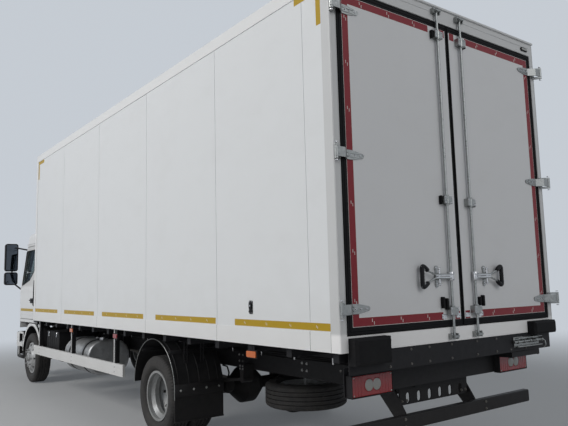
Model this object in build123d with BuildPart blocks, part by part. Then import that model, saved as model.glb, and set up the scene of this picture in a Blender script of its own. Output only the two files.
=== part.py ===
from build123d import *
import os

# Refrigerated truck: a two-axle cab-over chassis with an insulated box body.
# Millimetres. X points forward, Y to the vehicle's left, Z up.
# The origin lies on the ground, under the middle of the whole length.

os.makedirs("parts", exist_ok=True)

# Driving dimensions of the whole vehicle
overall_length = 9580
buffer_proud = 80
wheelbase = 5150
rear_overhang = 3150
body_length = 7420
body_width = 2600
body_bottom = 1100
body_top = 3810
cab_gap = 180

rear_x = buffer_proud - overall_length / 2
front_x = overall_length / 2
rear_axle_x = rear_x + rear_overhang
front_axle_x = rear_axle_x + wheelbase
body_front_x = rear_x + body_length
half_body = body_width / 2

# Running clearances
fit_gap = 0.3
panel_gap = 6
seat_gap = 0.3

# Tyres and rims, 245 mm wide on a 19.5 inch rim
tyre_radius = 419
tyre_width = 245
tyre_shoulder = 26
bead_radius = 247
rim_wall = 9
rim_width = 190
rim_flange_radius = 262
rim_seat_width = 31
rim_well_half = 22
rim_well_depth = 34
tread_edge_inset = 30
shoulder_inset = 8
bead_height = 22
bead_thickness = 24
sidewall_thickness = 34
crown_inset = 46
twin_spacing = 280
front_wheel_y = 985
rear_outer_wheel_y = 1028
wheel_bolt_count = 8
wheel_bolt_circle = 137.5
wheel_nut_radius = 15
wheel_nut_height = 22
disc_thickness = 14
disc_inner_radius = 60
disc_face_radius = 168
disc_dish = 64
hand_hole_count = 8
hand_hole_radius = 17
hub_flange_radius = 158
hub_flange_thickness = 16
hub_nose_radius = 72
hub_nose_length = 46
rear_nose_radius = 88
rear_nose_length = 110
front_drum_radius = 165
rear_drum_radius = 185
drum_to_flange = 50
rear_drum_width = 226
front_drum_gap = 23
hub_cap_thickness = 30

# Chassis frame
frame_width = 850
frame_height = 240
frame_top = 940
flange_width = 70
flange_thickness = 8
web_thickness = 8
frame_rear_x = rear_x + 330
frame_front_x = front_x - 320
crossmember_height = 160
crossmember_width = 60
crossmember_stations = (600, 1480, 2560, 3720, 4900, 6100, 7300)
cab_bracket_thickness = 22
cab_bracket_gap = 2
cab_mount_length = 100
cab_mount_inner_reach = 45
cab_mount_outer_reach = 55

# Rear crossmember plate with its row of slots
rear_plate_thickness = 12
rear_plate_half_width = 420
rear_plate_bottom = 610
slot_count = 6
slot_pitch = 130
slot_width = 45
slot_height = 80
slot_z = 660

# Body bearers on the frame
runner_width = 66
runner_height = 90
bearer_width = 60
bearer_count = 15
bearer_end_inset = 90
bearer_end_setback = 30
runner_front_setback = 20
closing_plate_bottom = 952
closing_plate_thickness = 8

# Insulated body
rail_thickness = 6
side_wall_thickness = 74
floor_thickness = 120
roof_thickness = 100
front_wall_thickness = 90
roof_rail_height = 106
skirt_rail_height = 135
front_rail_width = 80
portal_depth = 93
portal_post_width = 60
portal_sill_height = 107
portal_header_height = 136
header_lip_height = 15
header_lip_proud = 14
header_groove_drop = 62
header_groove_height = 5
header_groove_depth = 3
panel_edge_radius = 12
panel_joint_width = 6
panel_joint_depth = 3
panel_joint_stations = (313, 1585, 3060, 4510, 5960)
wall_outer_y = half_body - rail_thickness
wall_inner_y = wall_outer_y - side_wall_thickness
floor_top = body_bottom + floor_thickness
ceiling_z = body_top - roof_thickness

# Rear doors, their gaskets and hinges
door_thickness = 82
gasket_band = 50
gasket_depth = 22
centre_gasket_band = 18
centre_gap = 12
opening_half_width = half_body - portal_post_width
opening_bottom = body_bottom + portal_sill_height
opening_top = body_top - portal_header_height
hinge_pin_x = rear_x - 52
hinge_pin_y = half_body + 25
hinge_pin_radius = 7
hinge_barrel_radius = 14
hinge_heights = (1385, 2445, 3505)
hinge_strap_height = 68
hinge_strap_tip_height = 34
hinge_strap_thickness = 8
hinge_strap_tip_y = 1040
hinge_strap_point = 17
hinge_strap_shoulder = 95
hinge_crank_run = 78
hinge_crank_start = 45
hinge_crank_mitre = 3
hinge_rib_width = 9
hinge_rib_height = 4
hinge_rib_spacing = 26
hinge_rib_tip_inset = 30
hinge_rib_root_inset = 55
hinge_ear_thickness = 14
hinge_ear_gap = 2
hinge_ear_lead = 46
hinge_ear_slope = 10
hinge_plate_thickness = 6
hinge_plate_width = 49
hinge_plate_inset = 1

# Lock rods, guides, keepers and handles
rod_y = 150
rod_radius = 11
rod_stand_off = 24
rod_bottom_z = body_bottom + 38
rod_top_z = body_top - 62
rod_guide_heights = (1330, 2190, 3545)
guide_width = 96
guide_height = 60
guide_proud = 42
keeper_width = 84
keeper_height = 44
keeper_lug = 12
keeper_plate = 2
handle_z = 1595
handle_grip_y = 500
handle_grip_length = 155
handle_grip_radius = 13
handle_arm_radius = 7
handle_arm_inset = 12
handle_arm_spacing = 28
handle_fork_y = 353
handle_stand_off = 12
handle_boss_wall = 8
handle_boss_height = 60
cam_wall = 6
cam_height = 26
catch_y = 300
catch_plate_thickness = 6
catch_waist_width = 24
catch_middle_radius = 27
catch_lobe_radius = 21
catch_lobe_spacing = 62
catch_hook_half = 14

# Dock buffers
buffer_y = 1060
buffer_width = 340
buffer_bottom = 1015
buffer_top = 1195
right_buffer_bottom = 1085
buffer_chamfer = 18

# Tail lamps and the beam that carries them
lamp_y = 870
lamp_width = 400
lamp_height = 148
lamp_depth = 60
lamp_z = 842
lamp_corner_radius = 8
lamp_face_x = rear_x + 150
lamp_beam_thickness = 8
lamp_beam_height = 200
lamp_beam_half_width = 1090

# Rear underrun bar
underrun_z = 512
underrun_height = 104
underrun_depth = 60
underrun_half_width = 1150
underrun_face_x = rear_x + 195
underrun_arm_y = 425
underrun_arm_thickness = 12
underrun_arm_width = 110
underrun_arm_foot_width = 64
underrun_arm_setback = 80
underrun_arm_lap = 110
underrun_arm_drop = 20
underrun_arm_inset = 4
underrun_corner_radius = 10

# Side guards
guard_rear_station = 3790
guard_front_station = 7550
guard_bottom = 560
guard_height = 136
guard_y = 1250
guard_thickness = 4
guard_flange = 32
guard_post_stations = (4045, 5630, 7230)
guard_post_width = 60
guard_post_depth = 48

# Axles, springs and driveline
axle_z = tyre_radius
kingpin_y = 850
kingpin_radius = 20
kingpin_boss_radius = 42
kingpin_boss_height = 92
knuckle_ear_thickness = 24
knuckle_web_thickness = 12
knuckle_web_gap = 5
kingpin_play = 1
spindle_end_inset = 20
spindle_radius = 30
rear_spindle_radius = 45
beam_width = 90
beam_height = 110
beam_drop = 60
beam_web_thickness = 28
beam_flange_height = 22
beam_rise_start_y = 560
beam_rise_end_y = 700
front_spring_y = 472
spring_width = 76
spring_thickness = 44
front_spring_length = 1500
front_spring_rise = 130
rear_spring_length = 1560
rear_spring_rise = 90
spring_end_thickness = 16
spring_eye_radius = 26
hanger_width = 90
saddle_half_length = 110
saddle_height = 30
saddle_lap = 12
spring_eye_rise = 4
hanger_lap = 60
hanger_boss_wall = 8
rear_spring_y = 500
rear_tube_radius = 68
differential_radius = 205
differential_half_width = 70
differential_step_y = 120
differential_step = 40
axle_tube_start_y = 230
brake_flange_thickness = 16
brake_flange_height = 30
pinion_start = 150
pinion_end = 340
pinion_root_radius = 120
pinion_end_radius = 62

# Masses and tanks on the frame
engine_length = 950
engine_half_width = 290
engine_bottom = 450
engine_top = 1210
engine_front_station = 9080
engine_mount_station = 300
engine_mount_length = 120
engine_mount_height = 100
gearbox_length = 620
gearbox_radius = 190
gearbox_rear_radius = 118
gearbox_z = 640
shaft_radius = 44
shaft_drop = 10
bearing_drop = 40
bearing_length = 50
bearing_width = 140
bearing_height = 60
tank_rear_station = 5350
tank_length = 1020
tank_inner_y = 520
tank_outer_y = 1110
tank_bottom = 400
tank_height = 460
tank_corner = 205
tank_edge_radius = 24
tank_strap_inset = 224
tank_bracket_drop = 60
tank_bracket_setdown = 40
strap_width = 50
strap_thickness = 5
air_tank_radius = 125
air_tank_length = 800
air_tank_y = 900
air_tank_z = 700
air_tank_end_radius = 45
air_tank_rear_stations = (4450, 5450)
air_tank_bracket_inset = 200
air_tank_bracket_width = 40
air_tank_bracket_low = 40
air_tank_bracket_high = 90
air_tank_bracket_lap = 60
battery_rear_station = 6620
battery_length = 620
battery_inner_y = 560
battery_outer_y = 1120
battery_bottom = 520
battery_top = 930
battery_arm_inset = 80
battery_arm_bottom = 720
battery_arm_top = 800
battery_edge_radius = 30

# Rear mudguards and flaps
mudguard_radius = 500
mudguard_thickness = 6
mudguard_z = 524
mudguard_inner_y = 600
mudguard_outer_y = 1165
flap_bottom = 215
flap_thickness = 8
mudguard_arm_reach = 330
mudguard_arm_width = 36
mudguard_arm_bottom = 353
mudguard_arm_top = 389
mudguard_arm_inset = 100

# Spare wheel under the rear of the frame
spare_station = 2000
spare_z = 462
spare_plate_thickness = 12
spare_stem_radius = 18
spare_bar_width = 80
spare_bar_height = 40

# Cab
cab_length = 1860
cab_wall = 55
cab_half_width = 1070
cab_bottom = 1020
cab_roof = 2650
cab_panel_bottom = 900
cab_waist_z = 1620
cab_gutter_z = 2440
windscreen_rake = 290
cab_tumblehome = 45
cab_front_bulge = 55
cab_front_corner = 190
cab_rear_corner = 60
cab_roof_fillet = 110
tunnel_half_width = 400
tunnel_top = 1330
tunnel_front_station = 9110
cab_pivot_setback = 60
cab_pivot_z = 860
cab_pivot_radius = 14
cab_lug_radius = 32
cab_lug_y = 402
cab_lug_thickness = 22
cab_mount_station = 7720
cab_waist_setback = 12
cab_floor_lap = 10
cab_floor_inset = 30
cab_front_clearance = 130
cab_rear_inset = 20
cab_pin_length = 60
cab_pin_inset = 14
cab_lug_margin = 4
windscreen_bottom = 1670
windscreen_top = 2420
windscreen_bottom_half = 930
windscreen_top_half = 870
windscreen_corner = 70

# Cab doors
door_front_station = 9250
door_rear_station = 8300
door_bottom = 1080
door_top = 2390
door_pillar_top_station = 9040
cab_door_gap = 10
cab_hinge_setback = 4
cab_hinge_inset = 6
cab_hinge_heights = (1240, 1560)
cab_hinge_pin_radius = 5
cab_barrel_radius = 9
cab_barrel_height = 60
cab_ear_thickness = 10
cab_ear_gap = 2
cab_notch_radius = 16
glass_inset = 18
glass_thickness = 6
door_corner = 40
door_top_inset = 20
door_shoulder_rise = 30
side_glass_corner = 30
side_glass_front_inset = 105
side_glass_front_rise = 62
side_glass_pillar_inset = 45
side_glass_top_drop = 75
side_glass_rear_inset = 90
side_glass_rear_foot = 75
side_glass_rear_rise = 325
side_glass_step = 330
side_glass_step_rise = 160

# Cab furniture
seat_width = 430
seat_y = 690
seat_cushion_top = 1560
seat_setback = 330
seat_base_rear = 100
seat_base_front = 520
seat_front = 580
seat_cushion_height = 130
seat_back_foot = 140
seat_back_height = 640
seat_back_thickness = 100
seat_cushion_slope = 30
dashboard_depth = 420
dashboard_clearance = 60
dashboard_half_width = 900
dashboard_slope = 20
dashboard_lip_drop = 110
dashboard_brow = 84
dashboard_foot = 126
steering_wheel_rise = 60
steering_rim_radius = 15
steering_hub_radius = 55
steering_spoke_height = 40
steering_hub_depth = 24
steering_column_radius = 36
steering_column_length = 330
dashboard_top = 1600
steering_wheel_radius = 215
steering_wheel_y = 610

# Mirrors
mirror_inner_y = 1120
mirror_outer_y = 1350
mirror_bottom = 1700
mirror_top = 2480
mirror_depth = 90
mirror_station = 9285
mirror_split_z = 1950
mirror_split_gap = 16
mirror_corner = 45
mirror_back_radius = 25
mirror_arm_radius = 14
mirror_arm_setback = 195
mirror_arm_root_inset = 90
mirror_arm_top_drop = 60
mirror_arm_root_drop = 130
mirror_arm_inset = 20

# Bumper, lamps, grille, steps and arches
bumper_bottom = 370
bumper_top = 825
bumper_half_width = 1085
bumper_return = 300
bumper_wall = 28
bumper_rear_lap = 50
bumper_bracket_y = 300
bumper_bracket_width = 60
bumper_bracket_bottom = 710
bumper_bracket_drop = 10
lower_grille_width = 900
lower_grille_height = 110
lower_grille_z = 520
headlamp_corner = 30
headlamp_body = 36
headlamp_recess = 0.5
headlamp_y = 800
headlamp_width = 400
headlamp_bottom = 620
headlamp_top = 790
grille_bottom = 960
grille_top = 1330
grille_half_width = 620
grille_depth = 24
grille_slot_count = 5
grille_slot_height = 38
grille_border = 36
grille_corner = 40
grille_slot_corner = 12
grille_slot_end_inset = 54
pocket_depth = 400
arch_radius = 545
arch_thickness = 14
arch_inner_y = 830
arch_outer_y = 1085
step_rear_station = 8870
step_front_station = 9190
step_bottom = 360
step_top = 840
step_rear_lap = 25
step_tread_rises = (60, 290)
step_opening_inset = 40
step_opening_depth = 160
step_opening_height = 150
arch_open_height = 150
arch_arm_reach = 290
arch_arm_width = 36
arch_arm_bottom = 874
arch_arm_top = 910
arch_arm_lap = 60
step_arm_bottom = 720
step_arm_top = 780

# Cooling unit on the front wall
unit_width = 1900
unit_depth = 490
unit_bottom = 3110
unit_top = 3770
evaporator_depth = 420
evaporator_height = 270
evaporator_width = 1500
evaporator_base_depth = 231
evaporator_nose_height = 121
unit_corner = 60
unit_edge_radius = 50
unit_slot_count = 9
unit_slot_pitch = 52
unit_slot_height = 28
unit_slot_rise = 120
unit_slot_depth = 18
unit_slot_inner_y = 90
unit_slot_outer_y = 820


def block(x_range, y_range, z_range, mode=Mode.ADD):
    """A box between two corners, given by its ranges along X, Y and Z."""
    ranges = (x_range, y_range, z_range)
    with Locations(tuple((low + high) / 2 for low, high in ranges)):
        Box(*(high - low for low, high in ranges), mode=mode)


def both_sides(low, high):
    """The range from low to high on the left, and its mirror image on the right."""
    return ((low, high), (-high, -low))


def side_plane(y):
    """A plane across the vehicle at y, drawn on in X and Z. Its normal points to the right."""
    return Plane(origin=(0, y, 0), x_dir=(1, 0, 0), z_dir=(0, -1, 0))


def save(piece, name):
    """Label a finished piece and write it."""
    piece.label = name
    export_step(piece, f"parts/{name}.step")


cab_rear_x = body_front_x + cab_gap
cab_front_x = cab_rear_x + cab_length
cab_pivot_x = cab_front_x - cab_pivot_setback

# Frame rails: two channels with the crossmembers seated between their webs
frame_bottom = frame_top - frame_height
rail_outer_y = frame_width / 2
rail_inner_y = rail_outer_y - web_thickness
rail_front_x = frame_front_x - crossmember_width - seat_gap
middle_z = (frame_bottom + frame_top) / 2
crossmember_bottom = middle_z - crossmember_height / 2
with BuildPart() as frame_rails:
    for low, high in both_sides(rail_inner_y, rail_outer_y):
        block((frame_rear_x, rail_front_x), (low, high), (frame_bottom, frame_top))
    for low, high in both_sides(rail_outer_y - flange_width, rail_outer_y):
        block((frame_rear_x, rail_front_x), (low, high), (frame_bottom, frame_bottom + flange_thickness))
        block((frame_rear_x, rail_front_x), (low, high), (frame_top - flange_thickness, frame_top))
    for station in crossmember_stations:
        x = rear_x + station
        block(
            (x - crossmember_width / 2, x + crossmember_width / 2),
            (seat_gap - rail_inner_y, rail_inner_y - seat_gap),
            (crossmember_bottom, crossmember_bottom + crossmember_height),
        )

# Rear end of the frame: the slotted plate and the beam for the tail lamps, joined by two arms
rear_plate_x = frame_rear_x - seat_gap - rear_plate_thickness
lamp_beam_x = lamp_face_x + lamp_depth
with BuildPart() as frame_rear_end:
    block(
        (rear_plate_x, rear_plate_x + rear_plate_thickness),
        (-rear_plate_half_width, rear_plate_half_width),
        (rear_plate_bottom, frame_top),
    )
    with BuildSketch(Plane.YZ.offset(rear_plate_x)) as slots:
        with Locations((0, slot_z)):
            with GridLocations(slot_pitch, slot_pitch, slot_count, 1):
                SlotOverall(slot_height, slot_width, rotation=90)
    extrude(amount=rear_plate_thickness, mode=Mode.SUBTRACT)
    block(
        (lamp_beam_x, lamp_beam_x + lamp_beam_thickness),
        (-lamp_beam_half_width, lamp_beam_half_width),
        (lamp_z - lamp_height / 2, lamp_z - lamp_height / 2 + lamp_beam_height),
    )
    for low, high in both_sides(rail_outer_y - flange_width, rail_outer_y):
        block(
            (lamp_beam_x, frame_rear_x - seat_gap),
            (low, high),
            (frame_top - flange_thickness, frame_top),
        )

# Front crossmember with the brackets of the cab's pivot, and the cab's rear mounts on the rails
with BuildPart() as frame_front_end:
    block(
        (frame_front_x - crossmember_width, frame_front_x),
        (-rail_outer_y, rail_outer_y),
        (frame_bottom, frame_top),
    )
    bracket_outer_y = cab_lug_y - cab_bracket_gap
    bracket_heights = (cab_pivot_z - cab_lug_radius, cab_pivot_z + cab_lug_radius)
    for side in (1, -1):
        bracket = sorted((side * bracket_outer_y, side * (bracket_outer_y - cab_bracket_thickness)))
        block((frame_front_x, cab_pivot_x), bracket, bracket_heights)
        with Locations(Location((cab_pivot_x, sum(bracket) / 2, cab_pivot_z), (90, 0, 0))):
            Cylinder(cab_lug_radius, cab_bracket_thickness)
            Cylinder(cab_pivot_radius + fit_gap, 2 * cab_bracket_thickness, mode=Mode.SUBTRACT)
        mount_x = rear_x + cab_mount_station
        mount_inner_y = rail_outer_y - cab_mount_inner_reach
        block(
            (mount_x - cab_mount_length / 2, mount_x + cab_mount_length / 2),
            sorted((side * mount_inner_y, side * (rail_outer_y + cab_mount_outer_reach))),
            (frame_top + seat_gap, cab_bottom - seat_gap),
        )

# Body bearers: two runners along the frame, cross bearers seated on them under the floor,
# and the closing plate that hangs from the portal's sill behind the dock buffers
runner_rear_x = frame_rear_x
runner_front_x = body_front_x - runner_front_setback
runner_top = frame_top + runner_height
bearer_half_length = wall_outer_y - bearer_end_setback
bearer_pitch = (body_length - 2 * bearer_end_inset) / (bearer_count - 1)
with BuildPart() as body_bearers:
    for low, high in both_sides(rail_outer_y - runner_width, rail_outer_y):
        block((runner_rear_x, runner_front_x), (low, high), (frame_top, runner_top))
        block(
            (rear_x + bearer_end_inset, runner_rear_x - seat_gap),
            (low, high),
            (frame_top + runner_height / 2, runner_top),
        )
    for index in range(bearer_count):
        x = rear_x + bearer_end_inset + index * bearer_pitch
        block(
            (x - bearer_width / 2, x + bearer_width / 2),
            (-bearer_half_length, bearer_half_length),
            (runner_top + seat_gap, body_bottom),
        )
    block(
        (rear_x + seat_gap, rear_x + seat_gap + closing_plate_thickness),
        (-buffer_y - buffer_width / 2, buffer_y + buffer_width / 2),
        (closing_plate_bottom, body_bottom - seat_gap),
    )
save(body_bearers.part, "body_bearers")

# Insulated floor, roof, walls
panel_rear_x = rear_x + portal_depth
with BuildPart() as body_floor:
    block(
        (panel_rear_x, body_front_x - front_wall_thickness),
        (-wall_inner_y, wall_inner_y),
        (body_bottom, floor_top),
    )
save(body_floor.part, "body_floor")

with BuildPart() as body_roof:
    block((panel_rear_x, body_front_x), (-wall_outer_y, wall_outer_y), (ceiling_z, body_top))
    roof_edges = body_roof.edges().filter_by(Axis.X).group_by(Axis.Z)[-1]
    fillet(roof_edges, radius=panel_edge_radius)
save(body_roof.part, "body_roof")


def side_wall(side):
    """One insulated side wall with its vertical panel joints; side is 1 on the left, -1 on the right."""
    with BuildPart() as wall:
        ends = sorted((side * wall_inner_y, side * wall_outer_y))
        block((panel_rear_x, body_front_x), ends, (body_bottom, ceiling_z))
        groove = sorted((side * (wall_outer_y - panel_joint_depth), side * (wall_outer_y + 1)))
        for station in panel_joint_stations:
            x = rear_x + station
            block(
                (x - panel_joint_width / 2, x + panel_joint_width / 2),
                groove,
                (body_bottom, ceiling_z),
                Mode.SUBTRACT,
            )
    return wall.part


with BuildPart() as body_walls:
    add(side_wall(1))
    add(side_wall(-1))
    block(
        (body_front_x - front_wall_thickness, body_front_x),
        (-wall_inner_y, wall_inner_y),
        (body_bottom, ceiling_z),
    )
save(body_walls.part, "body_walls")

# Outer rails along the roof and floor edges and up the front corners, one frame on each side
with BuildPart() as body_rails:
    for side in (1, -1):
        with BuildSketch(side_plane(side * wall_outer_y)) as rail_outline:
            with Locations(((panel_rear_x + body_front_x) / 2, (body_bottom + body_top) / 2)):
                Rectangle(body_front_x - panel_rear_x, body_top - body_bottom)
            window_rear_x = panel_rear_x - 1
            window_front_x = body_front_x - front_rail_width
            window_bottom = body_bottom + skirt_rail_height
            window_top = body_top - roof_rail_height
            with Locations(
                ((window_rear_x + window_front_x) / 2, (window_bottom + window_top) / 2)
            ):
                Rectangle(
                    window_front_x - window_rear_x, window_top - window_bottom, mode=Mode.SUBTRACT
                )
        extrude(amount=-side * rail_thickness)
save(body_rails.part, "body_rails")

# Rear portal frame
with BuildPart() as rear_portal:
    with BuildSketch(Plane.YZ.offset(rear_x)) as portal_outline:
        with Locations((0, (body_bottom + body_top) / 2)):
            Rectangle(body_width, body_top - body_bottom)
        with Locations((0, (opening_bottom + opening_top) / 2)):
            Rectangle(2 * opening_half_width, opening_top - opening_bottom, mode=Mode.SUBTRACT)
    extrude(amount=portal_depth)
    outer_corners = rear_portal.edges().filter_by(Axis.Z).group_by(Axis.X)[0]
    outer_corners = outer_corners.filter_by(lambda edge: abs(edge.center().Y) > half_body - 1)
    fillet(outer_corners, radius=panel_edge_radius)
    block(
        (rear_x - header_lip_proud, rear_x + header_lip_proud),
        (-half_body, half_body),
        (body_top - header_lip_height, body_top),
    )
    groove_top = body_top - header_groove_drop
    for low, high in both_sides(rod_y + keeper_width / 2 + panel_gap, half_body - portal_post_width):
        block(
            (rear_x - 1, rear_x + header_groove_depth),
            (low, high),
            (groove_top - header_groove_height, groove_top),
            Mode.SUBTRACT,
        )
save(rear_portal.part, "rear_portal")

# Rubber dock buffers on the lower corners of the portal, a tall one on the left and a low one on the right
with BuildPart() as dock_buffers:
    for side, bottom in ((1, buffer_bottom), (-1, right_buffer_bottom)):
        block(
            (rear_x - buffer_proud, rear_x),
            sorted((side * (buffer_y - buffer_width / 2), side * (buffer_y + buffer_width / 2))),
            (bottom, buffer_top),
        )
    buffer_faces = dock_buffers.faces().group_by(Axis.X)[0]
    chamfer(buffer_faces.edges(), length=buffer_chamfer)
save(dock_buffers.part, "dock_buffers")

# Rear doors: insulated panel, gasket and ironwork for each side
door_top_z = opening_top - panel_gap
door_bottom_z = opening_bottom + panel_gap
door_outer_y = opening_half_width - panel_gap
panel_outer_y = door_outer_y - gasket_band
panel_inner_y = centre_gap / 2 + centre_gasket_band


def rear_door(side):
    """The insulated door panel, with its inner face toward the load space."""
    with BuildPart() as door:
        block(
            (rear_x, rear_x + door_thickness),
            sorted((side * panel_inner_y, side * panel_outer_y)),
            (door_bottom_z + gasket_band, door_top_z - gasket_band),
        )
    return door.part


def door_gasket(side):
    """The black rubber band round a door panel, narrower along the centre."""
    panel_centre = side * (panel_inner_y + panel_outer_y) / 2
    band_centre = side * (centre_gap / 2 + door_outer_y) / 2
    with BuildPart() as gasket:
        with BuildSketch(Plane.YZ.offset(rear_x)) as band:
            with Locations((band_centre, (door_bottom_z + door_top_z) / 2)):
                Rectangle(door_outer_y - centre_gap / 2, door_top_z - door_bottom_z)
            with Locations((panel_centre, (door_bottom_z + door_top_z) / 2)):
                Rectangle(
                    panel_outer_y - panel_inner_y + 2 * fit_gap,
                    door_top_z - door_bottom_z - 2 * gasket_band + 2 * fit_gap,
                    mode=Mode.SUBTRACT,
                )
        extrude(amount=gasket_depth)
    return gasket.part


def hinge_strap(side, height):
    """A cranked, pointed strap with two ribs, from the door's face out to its barrel on the pin."""
    face_x = rear_x - seat_gap
    crank_y = hinge_pin_y - hinge_crank_run
    crank_start_y = door_outer_y - hinge_crank_start
    half = hinge_strap_thickness / 2
    with BuildPart() as strap:
        with BuildSketch(Plane.XY.offset(height - hinge_strap_height / 2)) as crank:
            with BuildLine():
                Polyline(
                    (face_x, side * (hinge_strap_tip_y - hinge_strap_point)),
                    (face_x, side * crank_start_y),
                    (hinge_pin_x + half, side * crank_y),
                    (hinge_pin_x + half, side * hinge_pin_y),
                    (hinge_pin_x - half, side * hinge_pin_y),
                    (hinge_pin_x - half, side * (crank_y - hinge_crank_mitre)),
                    (face_x - hinge_strap_thickness, side * (crank_start_y - half)),
                    (face_x - hinge_strap_thickness, side * (hinge_strap_tip_y - hinge_strap_point)),
                    close=True,
                )
            make_face()
            with Locations((hinge_pin_x, side * hinge_pin_y)):
                Circle(hinge_barrel_radius)
                Circle(hinge_pin_radius + fit_gap, mode=Mode.SUBTRACT)
        extrude(amount=hinge_strap_height)
        root_y = hinge_pin_y + hinge_barrel_radius
        shoulder_y = hinge_strap_tip_y + hinge_strap_shoulder
        with BuildSketch(Plane.YZ.offset(hinge_pin_x - hinge_barrel_radius)) as strap_outline:
            with BuildLine():
                Polyline(
                    (side * hinge_strap_tip_y, height - hinge_strap_tip_height / 2),
                    (side * shoulder_y, height - hinge_strap_height / 2),
                    (side * root_y, height - hinge_strap_height / 2),
                    (side * root_y, height + hinge_strap_height / 2),
                    (side * shoulder_y, height + hinge_strap_height / 2),
                    (side * hinge_strap_tip_y, height + hinge_strap_tip_height / 2),
                )
                ThreePointArc(
                    (side * hinge_strap_tip_y, height + hinge_strap_tip_height / 2),
                    (side * (hinge_strap_tip_y - hinge_strap_point), height),
                    (side * hinge_strap_tip_y, height - hinge_strap_tip_height / 2),
                )
            make_face()
        extrude(amount=rear_x - hinge_pin_x + hinge_barrel_radius, mode=Mode.INTERSECT)
        for edge in (1, -1):
            rib_z = height + edge * hinge_rib_spacing / 2
            rib_tip_y = hinge_strap_tip_y + hinge_rib_tip_inset
            block(
                (face_x - hinge_strap_thickness - hinge_rib_height, face_x - hinge_strap_thickness),
                sorted((side * rib_tip_y, side * (door_outer_y - hinge_rib_root_inset))),
                (rib_z - hinge_rib_width / 2, rib_z + hinge_rib_width / 2),
            )
    return strap.part


def lock_gear(side):
    """The lock rod with its cams, guides, handle and catch plate."""
    face_x = rear_x - seat_gap
    rod_x = rear_x - rod_stand_off
    with BuildPart() as gear:
        with BuildSketch(Plane.XY.offset(rod_bottom_z)) as rod_section:
            with Locations((rod_x, side * rod_y)):
                Circle(rod_radius)
        extrude(amount=rod_top_z - rod_bottom_z)
        for guide_z in rod_guide_heights:
            block(
                (rear_x - guide_proud, face_x),
                sorted((side * (rod_y - guide_width / 2), side * (rod_y + guide_width / 2))),
                (guide_z - guide_height / 2, guide_z + guide_height / 2),
            )
        for cam_z in (rod_bottom_z, rod_top_z):
            with Locations((rod_x, side * rod_y, cam_z)):
                Cylinder(rod_radius + cam_wall, cam_height)
        grip_x = rod_x - handle_stand_off
        arm_spread = handle_grip_length / 2 - handle_arm_inset
        for end in (1, -1):
            with BuildLine() as arm_path:
                Polyline(
                    (grip_x, side * handle_grip_y, handle_z + end * arm_spread),
                    (grip_x, side * handle_fork_y, handle_z + end * handle_arm_spacing / 2),
                    (grip_x, side * rod_y, handle_z + end * handle_arm_spacing / 2),
                )
            with BuildSketch(Plane(arm_path.line @ 0, z_dir=arm_path.line % 0)) as arm_section:
                Circle(handle_arm_radius)
            sweep(transition=Transition.RIGHT)
        with Locations((rod_x, side * rod_y, handle_z)):
            Cylinder(rod_radius + handle_boss_wall, handle_boss_height)
        with Locations((grip_x, side * handle_grip_y, handle_z)):
            Cylinder(handle_grip_radius, handle_grip_length)
        with BuildSketch(Plane.YZ.offset(face_x - catch_plate_thickness)) as catch_plate:
            with Locations((side * catch_y, handle_z)):
                Rectangle(catch_waist_width, 2 * catch_lobe_spacing)
                Circle(catch_middle_radius)
            for end in (1, -1):
                with Locations((side * catch_y, handle_z + end * catch_lobe_spacing)):
                    Circle(catch_lobe_radius)
        extrude(amount=catch_plate_thickness)
        block(
            (grip_x + handle_arm_radius, face_x - catch_plate_thickness),
            sorted((side * (catch_y - catch_hook_half), side * (catch_y + catch_hook_half))),
            (handle_z - catch_middle_radius, handle_z + catch_middle_radius),
        )
    return gear.part


def door_ironwork(side):
    """Hinge straps and lock gear, the galvanised pieces that a door carries."""
    with BuildPart() as ironwork:
        for height in hinge_heights:
            add(hinge_strap(side, height))
        add(lock_gear(side))
    return ironwork.part


for side, word in ((1, "left"), (-1, "right")):
    save(rear_door(side), f"{word}_rear_door")
    save(door_gasket(side), f"{word}_door_gasket")
    save(door_ironwork(side), f"{word}_door_ironwork")

# Ironwork of the portal: hinge brackets with their pins, and the keepers of the lock rods,
# open toward the rear so that the cams swing clear
with BuildPart() as portal_ironwork:
    bracket_start = hinge_strap_height / 2 + hinge_ear_gap
    bracket_reach = bracket_start + hinge_ear_thickness
    plate_outer_y = half_body - hinge_plate_inset
    for side in (1, -1):
        for height in hinge_heights:
            block(
                (rear_x - seat_gap - hinge_plate_thickness, rear_x - seat_gap),
                sorted((side * (plate_outer_y - hinge_plate_width), side * plate_outer_y)),
                (height - bracket_reach, height + bracket_reach),
            )
            for low in (bracket_start, -bracket_start - hinge_ear_thickness):
                with BuildSketch(Plane.XY.offset(height + low)) as ear:
                    with BuildLine():
                        Polyline(
                            (rear_x - seat_gap, side * (half_body - hinge_ear_lead)),
                            (rear_x - seat_gap, side * plate_outer_y),
                            (hinge_pin_x + hinge_ear_slope, side * (hinge_pin_y + hinge_ear_slope)),
                            (hinge_pin_x - hinge_ear_slope, side * (hinge_pin_y - hinge_ear_slope)),
                            close=True,
                        )
                    make_face()
                    with Locations((hinge_pin_x, side * hinge_pin_y)):
                        Circle(hinge_barrel_radius)
                extrude(amount=hinge_ear_thickness)
            with Locations((hinge_pin_x, side * hinge_pin_y, height)):
                Cylinder(hinge_pin_radius, 2 * (bracket_start + hinge_ear_thickness))
    for side in (1, -1):
        for keeper_z in (rod_bottom_z, rod_top_z):
            heights = (keeper_z - keeper_height / 2, keeper_z + keeper_height / 2)
            for lug_y in (rod_y - keeper_width / 2, rod_y + keeper_width / 2 - keeper_lug):
                block(
                    (rear_x - rod_stand_off - rod_radius, rear_x),
                    sorted((side * lug_y, side * (lug_y + keeper_lug))),
                    heights,
                )
            block(
                (rear_x - keeper_plate, rear_x),
                sorted((side * (rod_y - keeper_width / 2), side * (rod_y + keeper_width / 2))),
                heights,
            )
save(portal_ironwork.part, "portal_ironwork")

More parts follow.
